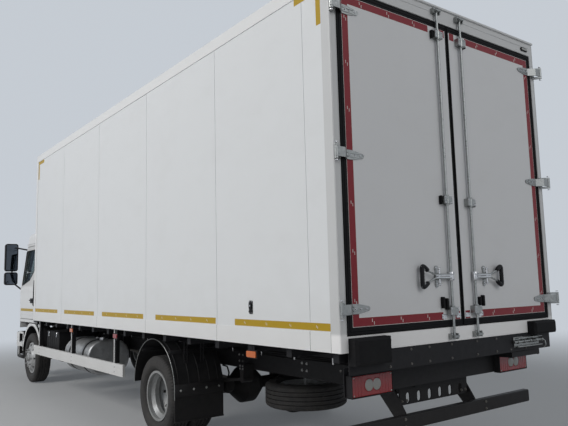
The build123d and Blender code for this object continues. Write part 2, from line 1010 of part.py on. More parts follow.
# Tail lamps
with BuildPart() as tail_lamps:
    for side in (1, -1):
        block(
            (lamp_face_x, lamp_face_x + lamp_depth - fit_gap),
            sorted((side * (lamp_y - lamp_width / 2), side * (lamp_y + lamp_width / 2))),
            (lamp_z - lamp_height / 2, lamp_z + lamp_height / 2),
        )
    fillet(tail_lamps.faces().group_by(Axis.X)[0].edges(), radius=lamp_corner_radius)
save(tail_lamps.part, "tail_lamps")

# Underrun bar on two raked arms from the frame rails
with BuildPart() as underrun_bar:
    block(
        (underrun_face_x, underrun_face_x + underrun_depth),
        (-underrun_half_width, underrun_half_width),
        (underrun_z - underrun_height / 2, underrun_z + underrun_height / 2),
    )
    fillet(underrun_bar.edges().filter_by(Axis.Y), radius=underrun_corner_radius)
    arm_top_x = frame_rear_x + underrun_arm_setback
    arm_foot_x = underrun_face_x + underrun_depth - underrun_arm_inset
    arm_foot_z = underrun_z - underrun_height / 2 + underrun_arm_inset
    for side in (1, -1):
        with BuildSketch(side_plane(side * (underrun_arm_y + underrun_arm_thickness + fit_gap))) as arm:
            with BuildLine():
                Polyline(
                    (arm_foot_x, arm_foot_z),
                    (arm_foot_x, arm_foot_z + underrun_height),
                    (arm_top_x, frame_bottom + underrun_arm_lap),
                    (arm_top_x + underrun_arm_width, frame_bottom + underrun_arm_lap),
                    (arm_top_x + underrun_arm_width, frame_bottom - underrun_arm_drop),
                    (arm_foot_x + underrun_arm_foot_width, arm_foot_z),
                    close=True,
                )
            make_face()
        extrude(amount=side * underrun_arm_thickness)
save(underrun_bar.part, "underrun_bar")

# Side guards: a flanged rail on each side, hung on posts from the body bearers
guard_rear_x = rear_x + guard_rear_station
guard_front_x = rear_x + guard_front_station
with BuildPart() as side_guards:
    for side in (1, -1):
        guard_face = sorted((side * (guard_y - guard_thickness), side * guard_y))
        flange = sorted((side * (guard_y - guard_flange), side * guard_y))
        block((guard_rear_x, guard_front_x), guard_face, (guard_bottom, guard_bottom + guard_height))
        for low in (guard_bottom, guard_bottom + guard_height - guard_thickness):
            block((guard_rear_x, guard_front_x), flange, (low, low + guard_thickness))
        post_face_y = guard_y - guard_thickness
        for station in guard_post_stations:
            x = rear_x + station
            block(
                (x - guard_post_width / 2, x + guard_post_width / 2),
                sorted((side * (post_face_y - guard_post_depth), side * post_face_y)),
                (guard_bottom + guard_thickness, body_bottom - seat_gap),
            )
save(side_guards.part, "side_guards")


# Wheels. A wheel's plane has its X axis along the wheel's axle, pointing outward.
def wheel_plane(x, y, side):
    """The plane of a road wheel's section, with its origin at the middle of the tyre."""
    return Plane(origin=(x, y, axle_z), x_dir=(0, side, 0), z_dir=(side, 0, 0))


def axle_axis(plane):
    """The turning axis of a wheel."""
    return Axis(plane.origin, plane.x_dir)


def tyre(plane):
    """A tyre turned about its axle: flat tread, rounded shoulders and full sidewalls."""
    half = tyre_width / 2
    bead_half = rim_width / 2 - rim_wall - fit_gap
    shoulder_r = tyre_radius - tyre_shoulder
    wide_r = (bead_radius + tyre_radius) / 2 + 10
    tread_half = half - tread_edge_inset
    edge_half = half - shoulder_inset
    bead_top = bead_radius + bead_height
    with BuildPart() as ring:
        with BuildSketch(plane):
            with BuildLine():
                Line((-tread_half, tyre_radius), (tread_half, tyre_radius))
                Line((tread_half, tyre_radius), (edge_half, shoulder_r))
                ThreePointArc((edge_half, shoulder_r), (half, wide_r), (bead_half, bead_top))
                Polyline(
                    (bead_half, bead_top),
                    (bead_half, bead_radius),
                    (bead_half - bead_thickness, bead_radius),
                    (half - sidewall_thickness, wide_r),
                    (half - crown_inset, shoulder_r),
                    (crown_inset - half, shoulder_r),
                    (sidewall_thickness - half, wide_r),
                    (bead_thickness - bead_half, bead_radius),
                    (-bead_half, bead_radius),
                    (-bead_half, bead_top),
                )
                ThreePointArc((-bead_half, bead_top), (-half, wide_r), (-edge_half, shoulder_r))
                Line((-edge_half, shoulder_r), (-tread_half, tyre_radius))
            make_face()
        revolve(axis=axle_axis(plane))
    return ring.part


def rim(plane, dish):
    """A drop-centre steel rim; dish is 1 where the disc stands outward and -1 where it stands inward."""
    half = rim_width / 2
    seat_r = bead_radius - fit_gap
    well_r = seat_r - rim_well_depth
    inner_r = seat_r - rim_wall
    seat_end = half - rim_wall - rim_seat_width
    face = dish * twin_spacing / 2
    step = dish * disc_thickness
    with BuildPart() as wheel:
        with BuildSketch(plane):
            with BuildLine():
                Polyline(
                    (-half, rim_flange_radius),
                    (-half + rim_wall, rim_flange_radius),
                    (-half + rim_wall, seat_r),
                    (-seat_end, seat_r),
                    (-rim_well_half, well_r),
                    (rim_well_half, well_r),
                    (seat_end, seat_r),
                    (half - rim_wall, seat_r),
                    (half - rim_wall, rim_flange_radius),
                    (half, rim_flange_radius),
                    (half, inner_r),
                    (seat_end, inner_r),
                    (rim_well_half, well_r - rim_wall),
                    (-rim_well_half, well_r - rim_wall),
                    (-seat_end, inner_r),
                    (-half, inner_r),
                    close=True,
                )
            make_face()
        revolve(axis=axle_axis(plane))
        with BuildSketch(plane):
            with BuildLine():
                Polyline(
                    (face, disc_inner_radius),
                    (face, disc_face_radius),
                    (face - dish * disc_dish, inner_r + 2),
                    (face - dish * disc_dish - 1.4 * step, inner_r + 2),
                    (face - 1.2 * step, disc_face_radius - 4),
                    (face - step, disc_face_radius - 16),
                    (face - step, disc_inner_radius),
                    close=True,
                )
            make_face()
        revolve(axis=axle_axis(plane))
        hand_plane = Plane(origin=plane.origin, x_dir=plane.y_dir, z_dir=plane.x_dir)
        with BuildSketch(hand_plane.offset(face)):
            with PolarLocations((disc_face_radius + inner_r) / 2, hand_hole_count):
                Circle(hand_hole_radius)
        extrude(amount=-dish * (disc_dish + 2 * disc_thickness), mode=Mode.SUBTRACT)
    return wheel.part


def hub(plane, inner_end, flange_face, bore_radius, nose_radius, nose_length, drum_radius):
    """A hub with brake drum, flange and nose; distances run outward along the axle."""
    with BuildPart() as turned:
        with BuildSketch(plane):
            with BuildLine():
                Polyline(
                    (inner_end, bore_radius),
                    (inner_end, drum_radius),
                    (flange_face - drum_to_flange, drum_radius),
                    (flange_face - hub_flange_thickness, hub_flange_radius),
                    (flange_face, hub_flange_radius),
                    (flange_face, disc_inner_radius - fit_gap),
                    (flange_face + nose_length * 0.5, disc_inner_radius - fit_gap),
                    (flange_face + nose_length, nose_radius * 0.72),
                    (flange_face + nose_length, 0),
                    (flange_face + nose_length - hub_cap_thickness, 0),
                    (flange_face + nose_length - hub_cap_thickness, bore_radius),
                    close=True,
                )
            make_face()
        revolve(axis=axle_axis(plane))
    return turned.part


def nuts(plane, face):
    """The ring of hexagonal wheel nuts that stands on a disc's outer face."""
    with BuildPart() as ring:
        nut_plane = Plane(origin=plane.origin, x_dir=plane.y_dir, z_dir=plane.x_dir)
        with BuildSketch(nut_plane.offset(face)):
            with PolarLocations(wheel_bolt_circle, wheel_bolt_count):
                RegularPolygon(wheel_nut_radius, 6)
        extrude(amount=wheel_nut_height)
    return ring.part


disc_face = twin_spacing / 2
for side, word in ((1, "left"), (-1, "right")):
    front_plane = wheel_plane(front_axle_x, side * front_wheel_y, side)
    outer_plane = wheel_plane(rear_axle_x, side * rear_outer_wheel_y, side)
    inner_plane = wheel_plane(rear_axle_x, side * (rear_outer_wheel_y - twin_spacing), side)

    save(tyre(front_plane), f"front_{word}_tyre")
    with BuildPart() as front_rim:
        add(rim(front_plane, 1))
        add(nuts(front_plane, disc_face))
        add(
            hub(
                front_plane,
                inner_end=kingpin_y + kingpin_boss_radius + front_drum_gap - front_wheel_y,
                flange_face=disc_face - disc_thickness,
                bore_radius=spindle_radius + fit_gap,
                nose_radius=hub_nose_radius,
                nose_length=hub_nose_length,
                drum_radius=front_drum_radius,
            )
        )
    save(front_rim.part, f"front_{word}_rim")

    with BuildPart() as twin_tyres:
        add(tyre(outer_plane))
        add(tyre(inner_plane))
    save(twin_tyres.part, f"rear_{word}_tyres")
    with BuildPart() as twin_rims:
        add(rim(outer_plane, -1))
        add(rim(inner_plane, 1))
        add(nuts(outer_plane, disc_thickness - disc_face))
        add(
            hub(
                inner_plane,
                inner_end=disc_face - disc_thickness - rear_drum_width,
                flange_face=disc_face - disc_thickness,
                bore_radius=rear_spindle_radius + fit_gap,
                nose_radius=rear_nose_radius,
                nose_length=rear_nose_length,
                drum_radius=rear_drum_radius,
            )
        )
    save(twin_rims.part, f"rear_{word}_rims")

# Steering knuckles, each with its kingpin and spindle
ear_top = axle_z + kingpin_boss_height / 2 + kingpin_play
ear_bottom = 2 * axle_z - ear_top - knuckle_ear_thickness
for side, word in ((1, "left"), (-1, "right")):
    with BuildPart() as knuckle:
        web_y = kingpin_y + kingpin_boss_radius + knuckle_web_gap
        web_outer_y = web_y + knuckle_web_thickness
        for ear_z in (ear_bottom, ear_top):
            with BuildSketch(Plane.XY.offset(ear_z)):
                with Locations((front_axle_x, side * kingpin_y)):
                    Circle(kingpin_boss_radius)
                with Locations((front_axle_x, side * (kingpin_y + web_outer_y) / 2)):
                    Rectangle(2 * kingpin_boss_radius, web_outer_y - kingpin_y)
            extrude(amount=knuckle_ear_thickness)
        block(
            (front_axle_x - kingpin_boss_radius, front_axle_x + kingpin_boss_radius),
            sorted((side * web_y, side * web_outer_y)),
            (ear_bottom, ear_top + knuckle_ear_thickness),
        )
        with Locations((front_axle_x, side * kingpin_y, axle_z)):
            Cylinder(kingpin_radius, 2 * (ear_top - axle_z + knuckle_ear_thickness))
        spindle_end = front_wheel_y + disc_face - spindle_end_inset
        with BuildSketch(side_plane(side * web_y)):
            with Locations((front_axle_x, axle_z)):
                Circle(spindle_radius)
        extrude(amount=-side * (spindle_end - web_y))
    save(knuckle.part, f"{word}_knuckle")

# Front axle beam, a dropped I-section between the kingpin bosses
beam_bottom = axle_z - beam_drop - beam_height / 2
with BuildPart() as front_axle:
    end_half = kingpin_boss_height / 2
    with BuildSketch(Plane.YZ.offset(front_axle_x - beam_width / 2)):
        with BuildLine():
            Polyline(
                (-kingpin_y, axle_z - end_half),
                (-beam_rise_end_y, axle_z - end_half),
                (-beam_rise_start_y, beam_bottom),
                (beam_rise_start_y, beam_bottom),
                (beam_rise_end_y, axle_z - end_half),
                (kingpin_y, axle_z - end_half),
                (kingpin_y, axle_z + end_half),
                (beam_rise_end_y, axle_z + end_half),
                (beam_rise_start_y, beam_bottom + beam_height),
                (-beam_rise_start_y, beam_bottom + beam_height),
                (-beam_rise_end_y, axle_z + end_half),
                (-kingpin_y, axle_z + end_half),
                close=True,
            )
        make_face()
    extrude(amount=beam_width)
    for low, high in both_sides(beam_web_thickness / 2, beam_width / 2):
        block(
            (front_axle_x + low, front_axle_x + high),
            (-beam_rise_start_y, beam_rise_start_y),
            (beam_bottom + beam_flange_height, beam_bottom + beam_height - beam_flange_height),
            Mode.SUBTRACT,
        )
    for side in (1, -1):
        block(
            (front_axle_x - beam_width, front_axle_x + beam_width),
            sorted((side * (kingpin_y - fit_gap), side * (kingpin_y + beam_width))),
            (0, 2 * axle_z),
            Mode.SUBTRACT,
        )
        with Locations((front_axle_x, side * kingpin_y, axle_z)):
            Cylinder(kingpin_boss_radius, kingpin_boss_height)
            Cylinder(kingpin_radius + fit_gap, kingpin_boss_height, mode=Mode.SUBTRACT)

# Rear axle: banjo housing, tubes and spindles
with BuildPart() as rear_axle:
    drum_start = disc_face - disc_thickness - rear_drum_width
    spindle_start_y = rear_outer_wheel_y - twin_spacing + drum_start - shoulder_inset
    flange_radius = rear_tube_radius + brake_flange_height
    flange_start_y = spindle_start_y - brake_flange_thickness
    step_radius = differential_radius - differential_step
    rear_hub_face_y = rear_outer_wheel_y - disc_face - disc_thickness
    spindle_end_y = rear_hub_face_y + rear_nose_length - hub_cap_thickness - panel_gap
    with BuildSketch(wheel_plane(rear_axle_x, 0, 1)):
        with BuildLine():
            Polyline(
                (-spindle_end_y, 0),
                (-spindle_end_y, rear_spindle_radius),
                (-spindle_start_y, rear_spindle_radius),
                (-spindle_start_y, flange_radius),
                (-flange_start_y, flange_radius),
                (-flange_start_y, rear_tube_radius),
                (-axle_tube_start_y, rear_tube_radius),
                (-differential_step_y, step_radius),
                (-differential_half_width, differential_radius),
                (differential_half_width, differential_radius),
                (differential_step_y, step_radius),
                (axle_tube_start_y, rear_tube_radius),
                (flange_start_y, rear_tube_radius),
                (flange_start_y, flange_radius),
                (spindle_start_y, flange_radius),
                (spindle_start_y, rear_spindle_radius),
                (spindle_end_y, rear_spindle_radius),
                (spindle_end_y, 0),
                close=True,
            )
        make_face()
    revolve(axis=Axis((rear_axle_x, 0, axle_z), (0, 1, 0)))
    with BuildSketch(Plane.YZ.offset(rear_axle_x + pinion_start)):
        with Locations((0, axle_z)):
            Circle(pinion_root_radius)
    with BuildSketch(Plane.YZ.offset(rear_axle_x + pinion_end)):
        with Locations((0, axle_z)):
            Circle(pinion_end_radius)
    loft()
with BuildPart() as axles:
    add(front_axle.part)
    add(rear_axle.part)
save(axles.part, "axles")

# Leaf springs with their hangers and axle saddles
def leaf_spring(x_centre, y_centre, length, rise, seat_z, inner_y, outer_y):
    """One bowed spring pack; its ends hang from the frame and its middle sits on the axle."""
    half = length / 2
    plane = side_plane(y_centre + spring_width / 2)
    eye_z = seat_z + rise
    with BuildPart() as spring:
        with BuildSketch(plane):
            with BuildLine():
                ThreePointArc((x_centre - half, eye_z), (x_centre, seat_z), (x_centre + half, eye_z))
                Line((x_centre + half, eye_z), (x_centre + half, eye_z + spring_end_thickness))
                ThreePointArc(
                    (x_centre + half, eye_z + spring_end_thickness),
                    (x_centre, seat_z + spring_thickness),
                    (x_centre - half, eye_z + spring_end_thickness),
                )
                Line((x_centre - half, eye_z + spring_end_thickness), (x_centre - half, eye_z))
            make_face()
            eye_middle_z = eye_z + spring_eye_rise
            with Locations((x_centre - half, eye_middle_z), (x_centre + half, eye_middle_z)):
                Circle(spring_eye_radius)
        extrude(amount=spring_width)
        for end in (-half, half):
            with BuildSketch(side_plane(outer_y)):
                with BuildLine():
                    Polyline(
                        (x_centre + end - hanger_width / 2, frame_bottom + hanger_lap),
                        (x_centre + end + hanger_width / 2, frame_bottom + hanger_lap),
                        (x_centre + end + spring_eye_radius, eye_middle_z),
                        (x_centre + end - spring_eye_radius, eye_middle_z),
                        close=True,
                    )
                make_face()
                with Locations((x_centre + end, eye_middle_z)):
                    Circle(spring_eye_radius + hanger_boss_wall)
            extrude(amount=outer_y - inner_y)
    return spring.part


beam_top = beam_bottom + beam_height
rear_tube_top = axle_z + rear_tube_radius
with BuildPart() as leaf_springs:
    for side in (1, -1):
        for x_centre, spring_line, length, rise, seat in (
            (front_axle_x, front_spring_y, front_spring_length, front_spring_rise, beam_top + saddle_height),
            (rear_axle_x, rear_spring_y, rear_spring_length, rear_spring_rise, rear_tube_top + saddle_height),
        ):
            hanger_inner = rail_outer_y + fit_gap
            hanger_outer = spring_line + spring_width / 2 + hanger_boss_wall
            low, high = sorted((side * hanger_inner, side * hanger_outer))
            add(leaf_spring(x_centre, side * spring_line, length, rise, seat, low, high))
            block(
                (x_centre - saddle_half_length, x_centre + saddle_half_length),
                sorted((side * (spring_line - spring_width / 2), side * (spring_line + spring_width / 2))),
                (seat - saddle_height + seat_gap, seat + saddle_lap),
            )
save(leaf_springs.part, "leaf_springs")

# Engine, one plain block at its real place
engine_front_x = rear_x + engine_front_station
engine_rear_x = engine_front_x - engine_length
with BuildPart() as engine_block:
    block(
        (engine_rear_x, engine_front_x),
        (-engine_half_width, engine_half_width),
        (engine_bottom, engine_top),
    )
    mount_rear_x = engine_rear_x + engine_mount_station
    for side in (1, -1):
        block(
            (mount_rear_x, mount_rear_x + engine_mount_length),
            sorted((side * engine_half_width, side * (rail_inner_y - fit_gap))),
            (middle_z - engine_mount_height / 2, middle_z + engine_mount_height / 2),
        )
save(engine_block.part, "engine_block")

# Gearbox and propeller shaft with its middle bearing
gearbox_rear_x = engine_rear_x - gearbox_length
shaft_rear_x = rear_axle_x + pinion_end + spring_eye_rise
bearing_x = rear_x + crossmember_stations[5]
with BuildPart() as driveline:
    with BuildSketch(Plane.YZ.offset(gearbox_rear_x)):
        with Locations((0, gearbox_z)):
            Circle(gearbox_rear_radius)
    with BuildSketch(Plane.YZ.offset(engine_rear_x - seat_gap)):
        with Locations((0, gearbox_z)):
            Circle(gearbox_radius)
    loft()
    bearing_z = gearbox_z - bearing_drop
    with BuildLine() as shaft_line:
        Polyline(
            (gearbox_rear_x + shaft_drop, 0, gearbox_z - shaft_drop),
            (bearing_x, 0, bearing_z),
            (shaft_rear_x, 0, axle_z),
        )
    with BuildSketch(Plane(shaft_line.line @ 0, z_dir=shaft_line.line % 0)):
        Circle(shaft_radius)
    sweep(transition=Transition.RIGHT)
    block(
        (bearing_x - bearing_length / 2, bearing_x + bearing_length / 2),
        (-bearing_width / 2, bearing_width / 2),
        (bearing_z - bearing_height, crossmember_bottom - seat_gap),
    )
save(driveline.part, "driveline")

# Fuel tank on the left, a rounded box held to the frame by two brackets and straps
tank_rear_x = rear_x + tank_rear_station
tank_front_x = tank_rear_x + tank_length
tank_middle_y = (tank_inner_y + tank_outer_y) / 2
tank_middle_z = tank_bottom + tank_height / 2
strap_xs = (tank_rear_x + tank_strap_inset, tank_front_x - tank_strap_inset)
with BuildPart() as fuel_tank:
    with BuildSketch(Plane.YZ.offset(tank_rear_x)):
        with Locations((tank_middle_y, tank_middle_z)):
            RectangleRounded(tank_outer_y - tank_inner_y, tank_height, tank_corner)
    extrude(amount=tank_length)
    fillet(fuel_tank.faces().filter_by(Axis.X).edges(), radius=tank_edge_radius)
save(fuel_tank.part, "fuel_tank")

with BuildPart() as tank_brackets:
    for x in strap_xs:
        with BuildSketch(Plane.YZ.offset(x - strap_width / 2)):
            outer_width = tank_outer_y - tank_inner_y + 2 * (strap_thickness + fit_gap)
            outer_height = tank_height + 2 * (strap_thickness + fit_gap)
            with Locations((tank_middle_y, tank_middle_z)):
                RectangleRounded(outer_width, outer_height, tank_corner + strap_thickness + fit_gap)
                RectangleRounded(
                    tank_outer_y - tank_inner_y + 2 * fit_gap,
                    tank_height + 2 * fit_gap,
                    tank_corner + fit_gap,
                    mode=Mode.SUBTRACT,
                )
        extrude(amount=strap_width)
        block(
            (x - strap_width / 2, x + strap_width / 2),
            (rail_outer_y + seat_gap, tank_inner_y - fit_gap - seat_gap),
            (tank_middle_z - tank_bracket_drop, frame_top - tank_bracket_setdown),
        )
with BuildPart() as chassis_frame:
    add(frame_rails.part)
    add(frame_rear_end.part)
    add(frame_front_end.part)
    add(tank_brackets.part)
save(chassis_frame.part, "chassis_frame")

# Air tanks on the right and a battery box on each side, with brackets to the frame
with BuildPart() as air_tanks:
    for station in air_tank_rear_stations:
        x = rear_x + station
        with Locations(Location((x + air_tank_length / 2, -air_tank_y, air_tank_z), (0, 90, 0))):
            Cylinder(air_tank_radius, air_tank_length)
        for bracket_x in (x + air_tank_bracket_inset, x + air_tank_length - air_tank_bracket_inset):
            block(
                (bracket_x - air_tank_bracket_width / 2, bracket_x + air_tank_bracket_width / 2),
                (air_tank_bracket_lap - air_tank_y, -rail_outer_y - fit_gap),
                (air_tank_z + air_tank_bracket_low, air_tank_z + air_tank_bracket_high),
            )
    rims = air_tanks.edges().filter_by(GeomType.CIRCLE)
    fillet(rims.filter_by(lambda edge: edge.radius > air_tank_radius - 1), radius=air_tank_end_radius)
save(air_tanks.part, "air_tanks")

battery_rear_x = rear_x + battery_rear_station
battery_front_x = battery_rear_x + battery_length
with BuildPart() as battery_boxes:
    for side in (1, -1):
        block(
            (battery_rear_x, battery_front_x),
            sorted((side * battery_inner_y, side * battery_outer_y)),
            (battery_bottom, battery_top),
        )
        block(
            (battery_rear_x + battery_arm_inset, battery_front_x - battery_arm_inset),
            sorted((side * (rail_outer_y + fit_gap), side * battery_inner_y)),
            (battery_arm_bottom, battery_arm_top),
        )
    long_edges = battery_boxes.edges().filter_by(Axis.X)
    long_edges = long_edges.filter_by(lambda edge: abs(edge.center().Y) > battery_outer_y - 1)
    fillet(long_edges, radius=battery_edge_radius)
save(battery_boxes.part, "battery_boxes")

# Rear mudguards, arcs over the twin wheels, with flaps behind and arms to the frame
with BuildPart() as rear_mudguards:
    for side in (1, -1):
        with BuildSketch(side_plane(side * mudguard_outer_y)) as arc_band:
            with Locations((rear_axle_x, mudguard_z)):
                Circle(mudguard_radius)
                Circle(mudguard_radius - mudguard_thickness, mode=Mode.SUBTRACT)
            with Locations((rear_axle_x, mudguard_z - mudguard_radius)):
                Rectangle(3 * mudguard_radius, 2 * mudguard_radius, mode=Mode.SUBTRACT)
            flap_x = rear_axle_x - mudguard_radius + flap_thickness / 2
            with Locations((flap_x, (flap_bottom + mudguard_z) / 2)):
                Rectangle(flap_thickness, mudguard_z - flap_bottom)
        extrude(amount=side * (mudguard_outer_y - mudguard_inner_y))
        for x in (rear_axle_x - mudguard_arm_reach, rear_axle_x + mudguard_arm_reach):
            block(
                (x - mudguard_arm_width / 2, x + mudguard_arm_width / 2),
                sorted((side * (rail_outer_y + fit_gap), side * (mudguard_outer_y - mudguard_arm_inset))),
                (mudguard_z + mudguard_arm_bottom, mudguard_z + mudguard_arm_top),
            )

# Spare wheel, lying flat below the frame and hung from a bar between two crossmembers
spare_x = rear_x + spare_station
spare_plane = Plane(origin=(spare_x, 0, spare_z), x_dir=(0, 0, 1), z_dir=(0, 1, 0))
save(tyre(spare_plane), "spare_tyre")
with BuildPart() as spare_rim:
    add(rim(spare_plane, -1))
    stem_bottom = spare_z - twin_spacing / 2 - spare_plate_thickness
    with BuildSketch(Plane.XY.offset(stem_bottom)):
        with Locations((spare_x, 0)):
            Circle(disc_inner_radius + disc_thickness)
    extrude(amount=spare_plate_thickness)
    with BuildSketch(Plane.XY.offset(stem_bottom)):
        with Locations((spare_x, 0)):
            Circle(spare_stem_radius)
    extrude(amount=crossmember_bottom - spare_bar_height - stem_bottom)
    block(
        (
            rear_x + crossmember_stations[1] - spare_bar_width / 2,
            rear_x + crossmember_stations[2] + spare_bar_width / 2,
        ),
        (-spare_bar_width / 2, spare_bar_width / 2),
        (crossmember_bottom - spare_bar_height, crossmember_bottom - seat_gap),
    )
save(spare_rim.part, "spare_rim")


# Cab: one rounded volume, from which the shell, the doors and the glass are all taken
waist_front_x = cab_front_x - cab_waist_setback


def cab_section(z, half_width, front, inset, corner):
    """A level slice of the cab: flat sides, a bowed front and rounded corners."""
    y = half_width - inset
    rear = cab_rear_x + inset
    nose = front - inset
    shoulder = nose - cab_front_bulge
    with BuildSketch(Plane.XY.offset(z)) as section:
        with BuildLine():
            Line((shoulder, -y), (rear, -y))
            Line((rear, -y), (rear, y))
            Line((rear, y), (shoulder, y))
            ThreePointArc((shoulder, y), (nose, 0), (shoulder, -y))
        make_face()
        fillet(section.vertices().group_by(Axis.X)[-1], radius=corner)
        fillet(section.vertices().group_by(Axis.X)[0], radius=cab_rear_corner)
    return section.sketch


def cab_volume(inset, bottom=cab_panel_bottom):
    """The cab's closed volume, moved inward by inset from its outer skin."""
    rake = windscreen_rake / (cab_gutter_z - cab_waist_z)
    taper = cab_tumblehome / (cab_gutter_z - cab_waist_z)
    top = cab_roof - inset
    with BuildPart() as volume:
        lower = cab_section(bottom, cab_half_width, cab_front_x, inset, cab_front_corner)
        waist = cab_section(cab_waist_z, cab_half_width, waist_front_x, inset, cab_front_corner)
        upper = cab_section(
            top,
            cab_half_width - taper * (top - cab_waist_z),
            waist_front_x - rake * (top - cab_waist_z),
            inset,
            cab_front_corner,
        )
        loft(sections=[lower, waist, upper], ruled=True)
        if inset == 0:
            fillet(volume.faces().sort_by(Axis.Z)[-1].edges(), radius=cab_roof_fillet)
    return volume.part


def outline_prism(points, y_low, y_high, radius, grow=0):
    """A prism along Y with a side-view outline given as X and Z, its corners rounded."""
    with BuildPart() as prism:
        with BuildSketch(side_plane(y_high)) as outline:
            with BuildLine():
                Polyline(*points, close=True)
            make_face()
            if radius:
                fillet(outline.vertices(), radius=radius)
            if grow:
                offset(amount=grow)
        extrude(amount=y_high - y_low)
    return prism.part


door_front_x = rear_x + door_front_station
door_rear_x = rear_x + door_rear_station
door_pillar_top_x = rear_x + door_pillar_top_station
side_glass_top = door_top - side_glass_top_drop
door_outline = (
    (door_rear_x, door_bottom),
    (door_front_x, door_bottom),
    (door_front_x, cab_waist_z + door_shoulder_rise),
    (door_pillar_top_x, door_top),
    (door_rear_x + door_top_inset, door_top),
)
side_glass_outline = (
    (door_front_x - side_glass_front_inset, cab_waist_z + side_glass_front_rise),
    (door_pillar_top_x - side_glass_pillar_inset, side_glass_top),
    (door_rear_x + side_glass_rear_inset, side_glass_top),
    (door_rear_x + side_glass_rear_foot, cab_waist_z + side_glass_rear_rise),
    (door_rear_x + side_glass_step, cab_waist_z + side_glass_step_rise),
)


def front_pocket(depth, half_width, low, high, grow):
    """The outer skin of the cab's front panel, depth thick, inside a front-view outline."""
    with BuildPart() as pocket:
        add(cab_volume(0))
        add(cab_volume(depth), mode=Mode.SUBTRACT)
        with BuildSketch(Plane.YZ.offset(cab_front_x - pocket_depth)):
            with Locations((0, (low + high) / 2)):
                RectangleRounded(2 * (half_width + grow), high - low + 2 * grow, grille_corner)
        extrude(amount=2 * pocket_depth, mode=Mode.INTERSECT)
    return pocket.part


cab_hinge_x = door_front_x - cab_hinge_setback
cab_hinge_y = cab_half_width - cab_hinge_inset
ear_start = cab_barrel_height / 2 + cab_ear_gap
ear_levels = [
    (height + low, height + low + cab_ear_thickness)
    for height in cab_hinge_heights
    for low in (ear_start, -ear_start - cab_ear_thickness)
]


def upright(x, y, z_range, radius, mode=Mode.ADD):
    """An upright cylinder at x and y, given by its range along Z."""
    low, high = z_range
    with Locations((x, y, (low + high) / 2)):
        Cylinder(radius, high - low, mode=mode)


with BuildPart() as cab_shell:
    add(cab_volume(0))
    add(cab_volume(cab_wall, cab_panel_bottom + cab_wall), mode=Mode.SUBTRACT)
    cab_floor_top = door_bottom + cab_floor_lap
    tunnel_front_x = rear_x + tunnel_front_station
    cab_underside_front_x = cab_front_x - cab_front_clearance
    block(
        (cab_rear_x + cab_rear_inset, cab_underside_front_x),
        (-cab_half_width + cab_floor_inset, cab_half_width - cab_floor_inset),
        (cab_bottom, cab_floor_top),
    )
    block(
        (cab_rear_x + cab_rear_inset, tunnel_front_x + cab_wall),
        (-tunnel_half_width - cab_wall, tunnel_half_width + cab_wall),
        (cab_bottom, tunnel_top + cab_wall),
    )
    block(
        (cab_rear_x - cab_wall, tunnel_front_x),
        (-tunnel_half_width, tunnel_half_width),
        (cab_panel_bottom - cab_wall, tunnel_top),
        Mode.SUBTRACT,
    )
    block(
        (cab_rear_x - cab_wall, cab_underside_front_x),
        (-cab_half_width - cab_wall, cab_half_width + cab_wall),
        (cab_panel_bottom - cab_wall, cab_bottom),
        Mode.SUBTRACT,
    )
    for low, high in both_sides(cab_lug_y, cab_lug_y + cab_lug_thickness):
        block(
            (cab_pivot_x - cab_lug_radius, cab_pivot_x + cab_lug_radius),
            (low, high),
            (cab_pivot_z, cab_panel_bottom + cab_floor_lap),
        )
        with Locations(Location((cab_pivot_x, (low + high) / 2, cab_pivot_z), (90, 0, 0))):
            Cylinder(cab_lug_radius - cab_lug_margin, cab_lug_thickness)
    for side in (1, -1):
        pin_y = side * (cab_lug_y - cab_pin_inset)
        with Locations(Location((cab_pivot_x, pin_y, cab_pivot_z), (90, 0, 0))):
            Cylinder(cab_pivot_radius, cab_pin_length)
    for low, high in both_sides(cab_half_width - 3 * cab_wall, cab_half_width + cab_wall):
        add(outline_prism(door_outline, low, high, door_corner, cab_door_gap), mode=Mode.SUBTRACT)
    windscreen_plane = Plane.YZ.offset(waist_front_x - windscreen_rake - 4 * cab_wall)
    windscreen_reach = windscreen_rake + 8 * cab_wall
    with BuildSketch(windscreen_plane) as windscreen_outline:
        with BuildLine():
            Polyline(
                (-windscreen_bottom_half, windscreen_bottom),
                (windscreen_bottom_half, windscreen_bottom),
                (windscreen_top_half, windscreen_top),
                (-windscreen_top_half, windscreen_top),
                close=True,
            )
        make_face()
        fillet(windscreen_outline.vertices(), radius=windscreen_corner)
    extrude(amount=windscreen_reach, mode=Mode.SUBTRACT)
    add(
        front_pocket(grille_depth, grille_half_width, grille_bottom, grille_top, fit_gap),
        mode=Mode.SUBTRACT,
    )
    for side in (1, -1):
        for levels in ear_levels:
            upright(cab_hinge_x, side * cab_hinge_y, levels, cab_barrel_radius)
            ear_y = sorted((side * (cab_hinge_y - cab_barrel_radius), side * (cab_hinge_y + cab_ear_gap)))
            block((cab_hinge_x, door_front_x + 3 * cab_door_gap), ear_y, levels)
        for height in cab_hinge_heights:
            reach = ear_start + cab_ear_thickness
            upright(
                cab_hinge_x, side * cab_hinge_y, (height - reach, height + reach), cab_hinge_pin_radius
            )
save(cab_shell.part, "cab_shell")

glass_shell_outer = cab_volume(glass_inset)
glass_shell_inner = cab_volume(glass_inset + glass_thickness)
with BuildPart() as windscreen:
    add(glass_shell_outer)
    add(glass_shell_inner, mode=Mode.SUBTRACT)
    with BuildSketch(windscreen_plane):
        add(windscreen_outline.sketch_local)
        offset(amount=-fit_gap)
    extrude(amount=windscreen_reach, mode=Mode.INTERSECT)
save(windscreen.part, "windscreen")

